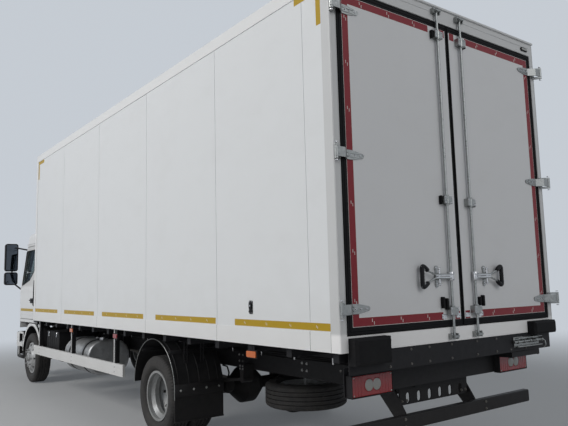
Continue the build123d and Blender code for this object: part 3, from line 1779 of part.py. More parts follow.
for side, word in ((1, "left"), (-1, "right")):
    door_low, door_high = sorted((side * (cab_half_width - 3 * cab_wall), side * (cab_half_width + cab_wall)))
    with BuildPart() as cab_door:
        add(cab_volume(0))
        add(cab_volume(cab_wall, cab_panel_bottom + cab_wall), mode=Mode.SUBTRACT)
        add(outline_prism(door_outline, door_low, door_high, door_corner), mode=Mode.INTERSECT)
        window = outline_prism(side_glass_outline, door_low, door_high, side_glass_corner)
        add(window, mode=Mode.SUBTRACT)
        for low, high in ear_levels:
            notch = (low - cab_ear_gap, high + cab_ear_gap)
            upright(cab_hinge_x, side * cab_hinge_y, notch, cab_notch_radius, Mode.SUBTRACT)
        for height in cab_hinge_heights:
            barrel = (height - cab_barrel_height / 2, height + cab_barrel_height / 2)
            upright(cab_hinge_x, side * cab_hinge_y, barrel, cab_barrel_radius)
            upright(
                cab_hinge_x, side * cab_hinge_y, barrel, cab_hinge_pin_radius + fit_gap, Mode.SUBTRACT
            )
    save(cab_door.part, f"cab_{word}_door")
    with BuildPart() as door_glass:
        add(glass_shell_outer)
        add(glass_shell_inner, mode=Mode.SUBTRACT)
        pane = outline_prism(side_glass_outline, door_low, door_high, side_glass_corner, -fit_gap)
        add(pane, mode=Mode.INTERSECT)
    save(door_glass.part, f"{word}_door_glass")

# Seats on the cab floor, and the dashboard with its column and wheel
with BuildPart() as seats:
    for y in (seat_y, -seat_y):
        seat_rear_x = cab_rear_x + seat_setback
        seat_back_x = seat_rear_x + seat_back_thickness / 5
        seat_back_top = seat_cushion_top + seat_back_height
        seat_pan_z = seat_cushion_top - seat_cushion_height
        with BuildSketch(side_plane(y + seat_width / 2)):
            with BuildLine():
                Polyline(
                    (seat_rear_x + seat_base_rear, cab_floor_top),
                    (seat_rear_x + seat_base_front, cab_floor_top),
                    (seat_rear_x + seat_base_front, seat_pan_z),
                    (seat_rear_x + seat_front, seat_cushion_top),
                    (seat_rear_x + seat_back_foot, seat_cushion_top - seat_cushion_slope),
                    (seat_back_x, seat_back_top),
                    (seat_back_x - seat_back_thickness, seat_back_top - seat_cushion_slope),
                    (seat_rear_x + seat_back_foot - seat_back_thickness, seat_pan_z),
                    close=True,
                )
            make_face()
        extrude(amount=seat_width)
save(seats.part, "seats")

dashboard_front_x = waist_front_x - cab_wall - cab_front_bulge - dashboard_clearance
dashboard_rear_x = dashboard_front_x - dashboard_depth
dashboard_bottom = tunnel_top + cab_wall + seat_gap
with BuildPart() as dashboard:
    with BuildSketch(side_plane(dashboard_half_width)):
        with BuildLine():
            Polyline(
                (dashboard_front_x, dashboard_bottom),
                (dashboard_front_x, dashboard_top),
                (dashboard_rear_x + dashboard_brow, dashboard_top - dashboard_slope),
                (dashboard_rear_x, dashboard_top - dashboard_lip_drop),
                (dashboard_rear_x + dashboard_foot, dashboard_bottom),
                close=True,
            )
        make_face()
    extrude(amount=2 * dashboard_half_width)
    wheel_x = dashboard_rear_x - steering_wheel_rise
    wheel_centre = (wheel_x, steering_wheel_y, dashboard_top + steering_wheel_rise)
    wheel_tilt = Plane(origin=wheel_centre, x_dir=(0, 1, 0), z_dir=(-0.5, 0, 0.87))
    with BuildSketch(Plane(origin=wheel_centre, x_dir=(0, 1, 0), z_dir=wheel_tilt.y_dir)) as rim_section:
        with Locations((steering_wheel_radius, 0)):
            Circle(steering_rim_radius)
    revolve(axis=Axis(wheel_centre, (-0.5, 0, 0.87)))
    with BuildSketch(wheel_tilt.offset(-steering_rim_radius)):
        Rectangle(2 * steering_wheel_radius - steering_rim_radius, steering_spoke_height)
        Circle(steering_hub_radius)
    extrude(amount=steering_hub_depth)
    with BuildSketch(wheel_tilt):
        Circle(steering_column_radius)
    extrude(amount=-steering_column_length)
save(dashboard.part, "dashboard")

# Grille, set into a pocket in the cab's front panel
with BuildPart() as grille:
    add(front_pocket(grille_depth - fit_gap, grille_half_width, grille_bottom, grille_top, 0))
    slot_zone = grille_top - grille_bottom - 2 * grille_border
    slot_step = slot_zone / grille_slot_count
    slot_start_y = grille_border / 2
    slot_length = grille_half_width - grille_slot_end_inset - slot_start_y
    with BuildSketch(Plane.YZ.offset(cab_front_x - pocket_depth)):
        for index in range(grille_slot_count):
            slot_middle_z = grille_bottom + grille_border + (index + 0.5) * slot_step
            for side in (1, -1):
                with Locations((side * (slot_start_y + slot_length / 2), slot_middle_z)):
                    RectangleRounded(slot_length, grille_slot_height, grille_slot_corner)
    extrude(amount=2 * pocket_depth, mode=Mode.SUBTRACT)
save(grille.part, "grille")


# Bumper: a wrapped shell on two brackets, with the headlamps set into it
def bumper_volume(inset, rear_extra):
    """The solid block of the bumper, moved inward by inset and lengthened to the rear."""
    y = bumper_half_width - inset
    nose = front_x - inset
    shoulder = nose - cab_front_bulge
    rear = front_x - bumper_return - rear_extra
    with BuildPart() as volume:
        with BuildSketch(Plane.XY.offset(bumper_bottom)) as section:
            with BuildLine():
                Line((shoulder, -y), (rear, -y))
                Line((rear, -y), (rear, y))
                Line((rear, y), (shoulder, y))
                ThreePointArc((shoulder, y), (nose, 0), (shoulder, -y))
            make_face()
            fillet(section.vertices().group_by(Axis.X)[-1], radius=cab_front_corner - inset)
        extrude(amount=bumper_top - bumper_bottom)
    return volume.part


def headlamp_windows(shrink):
    """Two openings through the bumper's front, as a pair of prisms along X."""
    with BuildPart() as windows:
        with BuildSketch(Plane.YZ.offset(front_x - bumper_return)):
            with Locations(
                (headlamp_y, (headlamp_bottom + headlamp_top) / 2),
                (-headlamp_y, (headlamp_bottom + headlamp_top) / 2),
            ):
                RectangleRounded(
                    headlamp_width - 2 * shrink,
                    headlamp_top - headlamp_bottom - 2 * shrink,
                    headlamp_corner,
                )
        extrude(amount=bumper_return + bumper_rear_lap)
    return windows.part


with BuildPart() as bumper:
    add(bumper_volume(0, 0))
    add(bumper_volume(bumper_wall, bumper_rear_lap), mode=Mode.SUBTRACT)
    add(headlamp_windows(0), mode=Mode.SUBTRACT)
    with BuildSketch(Plane.YZ.offset(front_x - bumper_return)):
        with Locations((0, lower_grille_z)):
            RectangleRounded(lower_grille_width, lower_grille_height, headlamp_corner)
    extrude(amount=bumper_return + bumper_rear_lap, mode=Mode.SUBTRACT)
    for side in (1, -1):
        block(
            (frame_front_x + fit_gap, front_x - bumper_wall),
            sorted((side * bumper_bracket_y, side * (bumper_bracket_y + bumper_bracket_width))),
            (bumper_bracket_bottom, bumper_top - bumper_bracket_drop),
        )
save(bumper.part, "bumper")

with BuildPart() as headlamps:
    add(bumper_volume(headlamp_recess, 0))
    add(bumper_volume(bumper_wall + headlamp_body, bumper_rear_lap), mode=Mode.SUBTRACT)
    add(headlamp_windows(fit_gap), mode=Mode.INTERSECT)
save(headlamps.part, "headlamps")

# Front arches with the entry steps, on arms from the frame
step_rear_x = rear_x + step_rear_station
step_front_x = rear_x + step_front_station
step_box_rear_x = step_rear_x - step_rear_lap
with BuildPart() as front_mudguards:
    for side in (1, -1):
        with BuildSketch(side_plane(side * arch_outer_y)):
            with Locations((front_axle_x, axle_z)):
                Circle(arch_radius + arch_thickness)
                Circle(arch_radius, mode=Mode.SUBTRACT)
            with Locations((front_axle_x, axle_z - arch_radius + arch_open_height)):
                Rectangle(3 * arch_radius, 2 * arch_radius, mode=Mode.SUBTRACT)
            with Locations(((step_box_rear_x + step_front_x) / 2, (step_bottom + step_top) / 2)):
                Rectangle(step_front_x - step_box_rear_x, step_top - step_bottom)
            with Locations((front_axle_x, axle_z)):
                Circle(arch_radius, mode=Mode.SUBTRACT)
        extrude(amount=side * (arch_outer_y - arch_inner_y))
        for rise in step_tread_rises:
            block(
                (step_rear_x + step_opening_inset, step_front_x - step_opening_inset),
                sorted((side * (arch_outer_y - step_opening_depth), side * (arch_outer_y + 1))),
                (step_bottom + rise, step_bottom + rise + step_opening_height),
                Mode.SUBTRACT,
            )
        arm_y = sorted((side * (rail_outer_y + fit_gap), side * (arch_inner_y + arch_arm_lap)))
        for x in (front_axle_x - arch_arm_reach, front_axle_x + arch_arm_reach):
            block((x - arch_arm_width / 2, x + arch_arm_width / 2), arm_y, (arch_arm_bottom, arch_arm_top))
        step_arm_x = step_rear_x + step_opening_inset
        block((step_arm_x, step_arm_x + arch_arm_lap), arm_y, (step_arm_bottom, step_arm_top))
with BuildPart() as mudguards:
    add(rear_mudguards.part)
    add(front_mudguards.part)
save(mudguards.part, "mudguards")

# Mirrors on arms from the front corners of the cab
mirror_x = rear_x + mirror_station
with BuildPart() as mirrors:
    for side in (1, -1):
        head_y = sorted((side * mirror_inner_y, side * mirror_outer_y))
        lower_top = mirror_split_z - mirror_split_gap / 2
        for low, high in ((mirror_bottom, lower_top), (lower_top + mirror_split_gap, mirror_top)):
            block((mirror_x, mirror_x + mirror_depth), head_y, (low, high))
    fillet(mirrors.edges().filter_by(Axis.X), radius=mirror_corner)
    fillet(mirrors.faces().group_by(Axis.X)[-1].edges(), radius=mirror_back_radius)
    stem_y = (mirror_inner_y + mirror_outer_y) / 2 - mirror_arm_inset
    root_y = cab_half_width - mirror_arm_root_inset
    stem_x = mirror_x + mirror_depth / 2
    for side in (1, -1):
        with BuildLine() as arm_path:
            Polyline(
                (mirror_x - mirror_arm_setback, side * root_y, mirror_top - mirror_arm_root_drop),
                (stem_x, side * stem_y, mirror_top - mirror_arm_top_drop),
                (stem_x, side * stem_y, mirror_bottom + mirror_arm_top_drop),
                (stem_x + mirror_arm_inset, side * root_y, mirror_bottom - mirror_arm_root_drop),
            )
        with BuildSketch(Plane(arm_path.line @ 0, z_dir=arm_path.line % 0)):
            Circle(mirror_arm_radius)
        sweep(transition=Transition.RIGHT)
    add(cab_volume(-fit_gap), mode=Mode.SUBTRACT)
save(mirrors.part, "mirrors")

# Cooling unit on the front wall, with the evaporator under the roof inside
unit_rear_x = body_front_x + fit_gap
unit_front_x = body_front_x + unit_depth
with BuildPart() as cooling_unit:
    with BuildSketch(Plane.YZ.offset(unit_rear_x)):
        with Locations((0, (unit_bottom + unit_top) / 2)):
            RectangleRounded(unit_width, unit_top - unit_bottom, unit_corner)
    extrude(amount=unit_front_x - unit_rear_x)
    front_edges = cooling_unit.faces().sort_by(Axis.X)[-1].edges()
    fillet(front_edges, radius=unit_edge_radius)
    for index in range(unit_slot_count):
        slot_bottom = unit_bottom + unit_slot_rise + index * unit_slot_pitch - unit_slot_height / 2
        for low, high in both_sides(unit_slot_inner_y, unit_slot_outer_y):
            block(
                (unit_front_x - unit_slot_depth, unit_front_x + 1),
                (low, high),
                (slot_bottom, slot_bottom + unit_slot_height),
                Mode.SUBTRACT,
            )
    inner_face_x = body_front_x - front_wall_thickness - seat_gap
    with BuildSketch(side_plane(evaporator_width / 2)):
        with BuildLine():
            Polyline(
                (inner_face_x, ceiling_z - seat_gap),
                (inner_face_x, ceiling_z - evaporator_height),
                (inner_face_x - evaporator_base_depth, ceiling_z - evaporator_height),
                (inner_face_x - evaporator_depth, ceiling_z - evaporator_nose_height),
                (inner_face_x - evaporator_depth, ceiling_z - seat_gap),
                close=True,
            )
        make_face()
    extrude(amount=evaporator_width)
save(cooling_unit.part, "cooling_unit")
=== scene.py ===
# %% [markdown]
# # A refrigerated truck, dressed for its portrait
#
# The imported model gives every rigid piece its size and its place. This notebook gives each of them
# a finish, and adds what is too small or too soft-edged for the solids: tread, tape, rivets, bolts,
# lamp lenses, hoses and cables. Lengths are in metres. X points forward, Y to the truck's left, Z up.

# %% Load the fixed frame
import bmesh
import bpy
import math
from mathutils import Matrix, Vector


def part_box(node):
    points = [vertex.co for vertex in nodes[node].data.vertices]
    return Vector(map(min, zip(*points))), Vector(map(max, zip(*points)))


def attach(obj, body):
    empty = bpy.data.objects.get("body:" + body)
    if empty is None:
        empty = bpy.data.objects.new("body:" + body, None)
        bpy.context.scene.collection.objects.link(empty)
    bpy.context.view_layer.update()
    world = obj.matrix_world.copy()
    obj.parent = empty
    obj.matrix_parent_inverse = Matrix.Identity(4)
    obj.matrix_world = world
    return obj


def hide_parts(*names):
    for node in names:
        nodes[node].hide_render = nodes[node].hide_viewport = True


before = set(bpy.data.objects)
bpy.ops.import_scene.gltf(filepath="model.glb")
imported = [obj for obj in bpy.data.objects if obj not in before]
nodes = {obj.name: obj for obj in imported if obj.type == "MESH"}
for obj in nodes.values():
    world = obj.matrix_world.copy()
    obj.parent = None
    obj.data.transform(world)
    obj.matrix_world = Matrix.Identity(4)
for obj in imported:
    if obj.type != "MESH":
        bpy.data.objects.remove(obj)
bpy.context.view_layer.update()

# %% [markdown]
# ## Shader maths as plain expressions
#
# A finish is a small sum of masks: dust that thickens toward the ground, scratches, grain. Wiring such
# sums node by node is hard to read, so this class wraps a socket and lets Python's own operators add
# the Math nodes. `mask * 0.3 + 0.5` then means what it says.

# %% A socket that does arithmetic
class Wire:
    def __init__(self, tree, socket):
        self.tree, self.socket = tree, socket

    def maths(self, operation, *values):
        node = self.tree.nodes.new("ShaderNodeMath")
        node.operation = operation
        for slot, value in zip(node.inputs, values):
            plug(self.tree, slot, value)
        return Wire(self.tree, node.outputs[0])

    def __add__(self, other):
        return self.maths("ADD", self, other)

    def __sub__(self, other):
        return self.maths("SUBTRACT", self, other)

    def __mul__(self, other):
        return self.maths("MULTIPLY", self, other)

    def larger(self, other):
        return self.maths("MAXIMUM", self, other)

    def sine(self):
        return self.maths("SINE", self)

    def clamp(self):
        node = self.tree.nodes.new("ShaderNodeClamp")
        plug(self.tree, node.inputs[0], self)
        return Wire(self.tree, node.outputs[0])

    def band(self, low, high):
        """Rises from 0 at low to 1 at high, smoothly; it falls instead where low is above high."""
        node = self.tree.nodes.new("ShaderNodeMapRange")
        node.interpolation_type = "SMOOTHSTEP"
        start = 0.0 if low < high else 1.0
        plug(self.tree, node.inputs["Value"], self)
        near_far = {"From Min": min(low, high), "From Max": max(low, high)}
        for socket, value in {**near_far, "To Min": start, "To Max": 1.0 - start}.items():
            node.inputs[socket].default_value = value
        return Wire(self.tree, node.outputs[0])


def plug(tree, slot, value):
    """Put a wire, a number or a colour into a socket."""
    if isinstance(value, Wire):
        tree.links.new(value.socket, slot)
    elif slot.type == "RGBA" and len(value) == 3:
        slot.default_value = (*value, 1.0)
    else:
        slot.default_value = value


# %% [markdown]
# ## A finish
#
# Every finish starts from Blender's Principled shader. The class keeps the shader, adds nodes by kind,
# and reads the object's own coordinates. The frame's pieces all sit at the origin, so these coordinates
# are metres in the truck's frame, and one dust rule fits every piece.

# %% The node and finish classes
class Nodes:
    """A node tree that adds nodes of any kind."""

    def __init__(self, tree):
        self.tree = tree

    def node(self, kind, inputs=None, output=0, **settings):
        """A node: its kind, the values or wires of its sockets, the output wanted, its settings."""
        node = self.tree.nodes.new("ShaderNode" + kind)
        for setting, value in settings.items():
            setattr(node, setting, value)
        for socket, value in (inputs or {}).items():
            plug(self.tree, node.inputs[socket], value)
        return Wire(self.tree, node.outputs[output])


class Finish(Nodes):
    count = 0

    def __init__(self, name, rough=0.5, metal=0.0, colour=(0.5, 0.5, 0.5), **constants):
        self.material = bpy.data.materials.new(name)
        self.material.use_nodes = True
        super().__init__(self.material.node_tree)
        self.shader = self.tree.nodes["Principled BSDF"]
        self.set(Base_Color=colour, Roughness=rough, Metallic=metal, **constants)
        self.material.diffuse_color = (*colour, 1.0)
        Finish.count += 1

    def set(self, **values):
        for socket, value in values.items():
            plug(self.tree, self.shader.inputs[socket.replace("_", " ")], value)

    def place(self, scale=(1, 1, 1)):
        """The point on the piece, in metres, each direction scaled."""
        here = self.node("TexCoord", output="Object")
        return self.node("VectorMath", {0: here, 1: scale}, operation="MULTIPLY")

    def axis(self, letter):
        """One coordinate of the point, as a number."""
        return self.node("SeparateXYZ", {0: self.node("TexCoord", output="Object")}, letter)

    def noise(self, scale, detail=3.0, stretch=(1, 1, 1), rough=0.5):
        return self.node("TexNoise", {
            "Vector": self.place(stretch), "Scale": scale, "Detail": detail, "Roughness": rough,
        })

    def mix(self, factor, a, b):
        """Colour a where factor is 0 and colour b where it is 1."""
        return self.node("Mix", {0: factor, 6: a, 7: b}, 2, data_type="RGBA")

    def bump(self, height):
        """Tilt the surface as if it stood out by height, in metres."""
        self.set(Normal=self.node("Bump", {"Distance": 1.0, "Strength": 1.0, "Height": height}))


def tint(colour, factor):
    return tuple(min(1.0, c * factor) for c in colour)


# %% [markdown]
# ## Road dust
#
# A working truck is never one tone. Pale dust lies on its lower pieces and thins out upward, broken up
# by noise. One function adds it to any finish, so all the pieces look as if they drove the same road.

# %% Dust and plain finishes
DUST = (0.30, 0.27, 0.23)
SILL_TOP, SILL_EDGE = 1.235, 1.205


def dusty(finish, colour, rough, amount, top=1.3, patch=3.0):
    """Mix dust over a colour: amount at the ground, none above top."""
    low = finish.axis("Z").band(top, 0.1)
    cloud = finish.noise(patch, 5.0, (1, 1, 1.6), 0.62)
    mask = (low * 0.75 + cloud * 0.5 - 0.25).clamp() * amount
    finish.set(Base_Color=finish.mix(mask, colour, DUST), Roughness=(mask * 0.4 + rough).clamp())


def panel_finish(name, colour, rough, wave=0.0011, sill=None):
    """Smooth coated panel: a faint cloudiness, and a slow waviness that bends what it reflects."""
    coat = {"Coat_Weight": 0.10, "Coat_Roughness": 0.12, "Specular_IOR_Level": 0.35}
    finish = Finish(name, rough, colour=colour, **coat)
    cloud = finish.noise(0.9, 3.0)
    runs = finish.noise(1.0, 4.0, (5.0, 5.0, 0.35))
    tone = (cloud * 0.06 + runs * 0.05 - 0.055).clamp()
    body = finish.mix(tone, colour, tint(colour, 0.72))
    if sill:
        body = finish.mix(finish.axis("Z").band(SILL_TOP, SILL_EDGE), body, sill)
    dusty(finish, body, rough, 0.34, 1.75, 2.2)
    finish.bump(finish.noise(1.4, 1.0) * wave + finish.noise(380.0, 2.0) * 0.00003)
    return finish


def black_finish(name, colour, rough, dust, grain=260.0, depth=0.00012, shine=0.5):
    """Dark moulded or painted piece with a fine grain and dust."""
    finish = Finish(name, rough, colour=colour, Specular_IOR_Level=shine)
    worn = finish.noise(22.0, 4.0)
    tone = finish.mix(worn, tint(colour, 0.75), tint(colour, 1.5))
    dusty(finish, tone, rough, dust, 1.25, 5.0)
    finish.bump(finish.noise(grain, 3.0) * depth + worn * depth)
    return finish


def metal_finish(name, colour, rough, spangle=60.0, metal=0.85):
    """Bare or galvanised metal: crystals of slightly different tone and gloss."""
    finish = Finish(name, rough, metal, colour=colour)
    crystal = finish.node("TexVoronoi", {"Vector": finish.place(), "Scale": spangle}, "Color")
    grey = finish.node("RGBToBW", {"Color": crystal})
    smear = finish.noise(9.0, 4.0)
    tone = finish.mix((grey * 0.5 + smear * 0.5).clamp(), tint(colour, 0.62), tint(colour, 1.2))
    dusty(finish, tone, rough, 0.2, 1.4, 4.0)
    finish.set(Roughness=(grey * 0.18 + smear * 0.22 + (rough - 0.18)).clamp())
    finish.bump(smear * 0.0003 + grey * 0.00002)
    return finish


side_white = panel_finish("side_white", (0.76, 0.78, 0.80), 0.30)
roof_white = panel_finish("roof_white", (0.70, 0.71, 0.72), 0.45)
door_white = panel_finish("door_white", (0.70, 0.71, 0.73), 0.34)
rail_white = panel_finish("rail_white", (0.80, 0.81, 0.82), 0.33, 0.0004)
portal_white = panel_finish("portal_white", (0.61, 0.62, 0.63), 0.36, 0.0004, (0.93, 0.93, 0.94))
cab_white = panel_finish("cab_white", (0.78, 0.79, 0.80), 0.22, 0.0004)
guard_white = panel_finish("guard_white", (0.76, 0.77, 0.78), 0.38, 0.0004)
unit_white = panel_finish("unit_white", (0.74, 0.75, 0.75), 0.42, 0.0005)
galvanised = metal_finish("galvanised", (0.33, 0.34, 0.335), 0.32)
bright_steel = metal_finish("bright_steel", (0.60, 0.60, 0.61), 0.20, 160.0, 1.0)
tank_metal = metal_finish("tank_metal", (0.46, 0.47, 0.48), 0.46, 30.0, 0.8)
bolt_steel = metal_finish("bolt_steel", (0.42, 0.42, 0.42), 0.45, 300.0, 0.8)
cast_metal = black_finish("cast_metal", (0.085, 0.082, 0.078), 0.62, 0.30, 120.0, 0.0006)
chassis_black = black_finish("chassis_black", (0.012, 0.012, 0.014), 0.50, 0.07, shine=0.15)
moulded_black = black_finish("moulded_black", (0.013, 0.013, 0.015), 0.52, 0.06, 700.0, shine=0.15)
rubber_black = black_finish("rubber_black", (0.009, 0.009, 0.010), 0.68, 0.05, 400.0, 0.0001, 0.1)
print(Finish.count, "finishes so far")

# %% [markdown]
# ## Tyres, rims, lamps, tape and glass
#
# Tyre rubber holds dust in patches over its whole height, so its mask follows a finer noise. Reflective
# tape is a prism film: a small diamond grid in the colour and a shallow bump. Lens plastic is a strong
# colour under a clear coat, with the ribs of the lens as bump, and as painted shade in their hollows and
# painted highlight on their crests.

# %% Finishes with a pattern of their own
def tyre_finish():
    rubber = (0.026, 0.026, 0.028)
    finish = Finish("tyre_rubber", 0.8, colour=rubber, Specular_IOR_Level=0.25)
    fine = finish.noise(14.0, 6.0, rough=0.65)
    mask = (fine * 0.9 + finish.noise(3.0, 3.0) * 0.5 - 0.42).clamp() * 0.42
    tone = finish.mix(mask, rubber, (0.16, 0.145, 0.125))
    finish.set(Base_Color=tone, Roughness=(mask * 0.3 + 0.66).clamp())
    finish.bump(finish.noise(420.0, 3.0) * 0.00014 + fine * 0.0005)
    return finish


def rim_finish(name, colour, rough):
    """Painted steel with brake dust and spots of mud."""
    finish = Finish(name, rough, 0.25, colour=colour)
    grime = finish.noise(11.0, 6.0, rough=0.62)
    spots = finish.noise(60.0, 2.0)
    mask = (grime * 1.1 + spots * 0.25 - 0.48).clamp() * 0.85
    tone = finish.mix(mask, colour, (0.13, 0.115, 0.095))
    finish.set(Base_Color=tone, Roughness=(mask * 0.35 + rough).clamp())
    finish.bump(grime * 0.0006 + spots * 0.0001)
    return finish


def tape_finish(name, colour, pale, pitch=620.0):
    """Prismatic film: a diamond grid a few millimetres wide."""
    coat = {"Coat_Weight": 0.12, "Coat_Roughness": 0.2, "Specular_IOR_Level": 0.25}
    finish = Finish(name, 0.45, colour=colour, **coat)
    across, up = finish.axis("X") + finish.axis("Y"), finish.axis("Z")
    rising, falling = ((across + up) * pitch).sine(), ((across - up) * pitch).sine()
    grid = ((rising * falling) * 0.5 + 0.5).clamp()
    tone = (grid * 0.45 + finish.noise(30.0, 4.0) * 0.3).clamp()
    finish.set(Base_Color=finish.mix(tone, colour, pale))
    finish.bump(grid * 0.0001)
    return finish


def lens_finish(name, colour, ribs):
    """Moulded lamp lens: small square ribs under a clear coat, with painted shade in the rib hollows and
    painted highlight on the crests.
    """
    finish = Finish(name, 0.18, colour=colour, Coat_Weight=0.5, Coat_Roughness=0.04)
    ridge, rows = ((finish.axis(letter) * ribs).sine() for letter in "YZ")
    depth = (ridge * rows * 0.5 + 0.5).clamp()
    # The rib pattern also sets the colour: painted shade in the hollows, painted highlight on the crests.
    finish.set(Base_Color=finish.mix(depth, tint(colour, 0.7), tint(colour, 1.25)))
    finish.bump(depth * 0.0005)
    return finish


tyre_rubber = tyre_finish()
rim_silver = rim_finish("rim_silver", (0.44, 0.45, 0.46), 0.34)
rim_grey = rim_finish("rim_grey", (0.33, 0.34, 0.345), 0.45)
tape_red = tape_finish("tape_red", (0.17, 0.008, 0.016), (0.30, 0.020, 0.030))
tape_yellow = tape_finish("tape_yellow", (0.41, 0.26, 0.008), (0.50, 0.335, 0.020))
tape_pale = tape_finish("tape_pale", (0.62, 0.60, 0.56), (0.80, 0.80, 0.78))
lens_red = lens_finish("lens_red", (0.28, 0.007, 0.012), 900.0)
lens_amber = lens_finish("lens_amber", (0.60, 0.13, 0.015), 1100.0)
lens_clear = lens_finish("lens_clear", (0.30, 0.30, 0.285), 800.0)
# Mirror glass: its dark bluish colour is a painted reflection of dark surroundings, not a bright mirror.
mirror_glass_painted_reflection = Finish("mirror_glass_painted_reflection", 0.04, 1.0, (0.10, 0.12, 0.15))
window_glass = Finish("window_glass", 0.02, 0.0, (0.50, 0.56, 0.56), Transmission_Weight=1.0, IOR=1.45)
seat_cloth = Finish("seat_cloth", 0.85, colour=(0.055, 0.058, 0.070), Sheen_Weight=0.3)
weave = (seat_cloth.axis("Y") * 2400.0).sine() * (seat_cloth.axis("Z") * 2400.0).sine()
tufts = (weave * 0.3 + seat_cloth.noise(8.0, 3.0) * 0.6).clamp()
seat_cloth.set(Base_Color=seat_cloth.mix(tufts, (0.040, 0.042, 0.052), (0.10, 0.105, 0.12)))
seat_cloth.bump(weave * 0.0002)
print(Finish.count, "finishes in all")

# %% [markdown]
# ## Building pieces in mesh code
#
# Each added piece is one object, made of many small closed shapes: all the bolts of a door, all the
# tape of a side. The class below collects such shapes and then shades, paints and mounts them. A box,
# a turned shape, a run of tube and an upright plate cover nearly every fitting on a truck.
#
# The truck is nearly the same on both sides. So a loop over `both_sides()` builds a piece twice, and
# every y that is given to a shape in it is turned over for the right side.

# %% The piece class
UP, BACK, AHEAD, OUT = (0, 0, 1), (-1, 0, 0), (1, 0, 0), (0, 1, 0)
SLOTS = {
    tyre_rubber: "tyre", bolt_steel: "galvanised", bright_steel: "galvanised", galvanised: "galvanised",
    rubber_black: "black_rubber", moulded_black: "black_plastic", chassis_black: "chassis_black",
    cast_metal: "cast_metal", tank_metal: "tank_metal", unit_white: "unit_white", cab_white: "cab_paint",
    guard_white: "guard_paint", rail_white: "rail_metal", portal_white: "portal_metal",
    lens_clear: "clear_lens", mirror_glass_painted_reflection: "clear_lens", lens_red: "red_lens", lens_amber: "red_lens",
    tape_red: "red_lens", tape_yellow: "door_panel", tape_pale: "door_panel", rim_grey: "rim_steel",
    seat_cloth: "seat_fabric",
}


def across(axis):
    """A rotation that turns Z to the given direction."""
    return Vector(axis).normalized().to_track_quat("Z", "Y").to_matrix()


def turns(count, part=1.0):
    """Evenly spaced angles round a full turn, or round a part of it."""
    return [2 * math.pi * part * i / count for i in range(count)]


def spread(first, step, count):
    return [first + i * step for i in range(count)]


def circle(centre, radius, count=40, u=(0, 1, 0), v=(0, 0, 1)):
    """Points round a circle in the plane of two directions."""
    u, v = Vector(u), Vector(v)
    return [Vector(centre) + radius * (math.cos(t) * u + math.sin(t) * v) for t in turns(count)]


def rounded(width, height, radius, steps=4):
    """The outline of a rectangle with round corners."""
    points = []
    for sx, sy, turn in ((1, 1, 0), (-1, 1, 90), (-1, -1, 180), (1, -1, 270)):
        for i in range(steps + 1):
            t = math.radians(turn + 90 * i / steps)
            points.append((
                sx * (width / 2 - radius) + radius * math.cos(t),
                sy * (height / 2 - radius) + radius * math.sin(t),
            ))
    return points


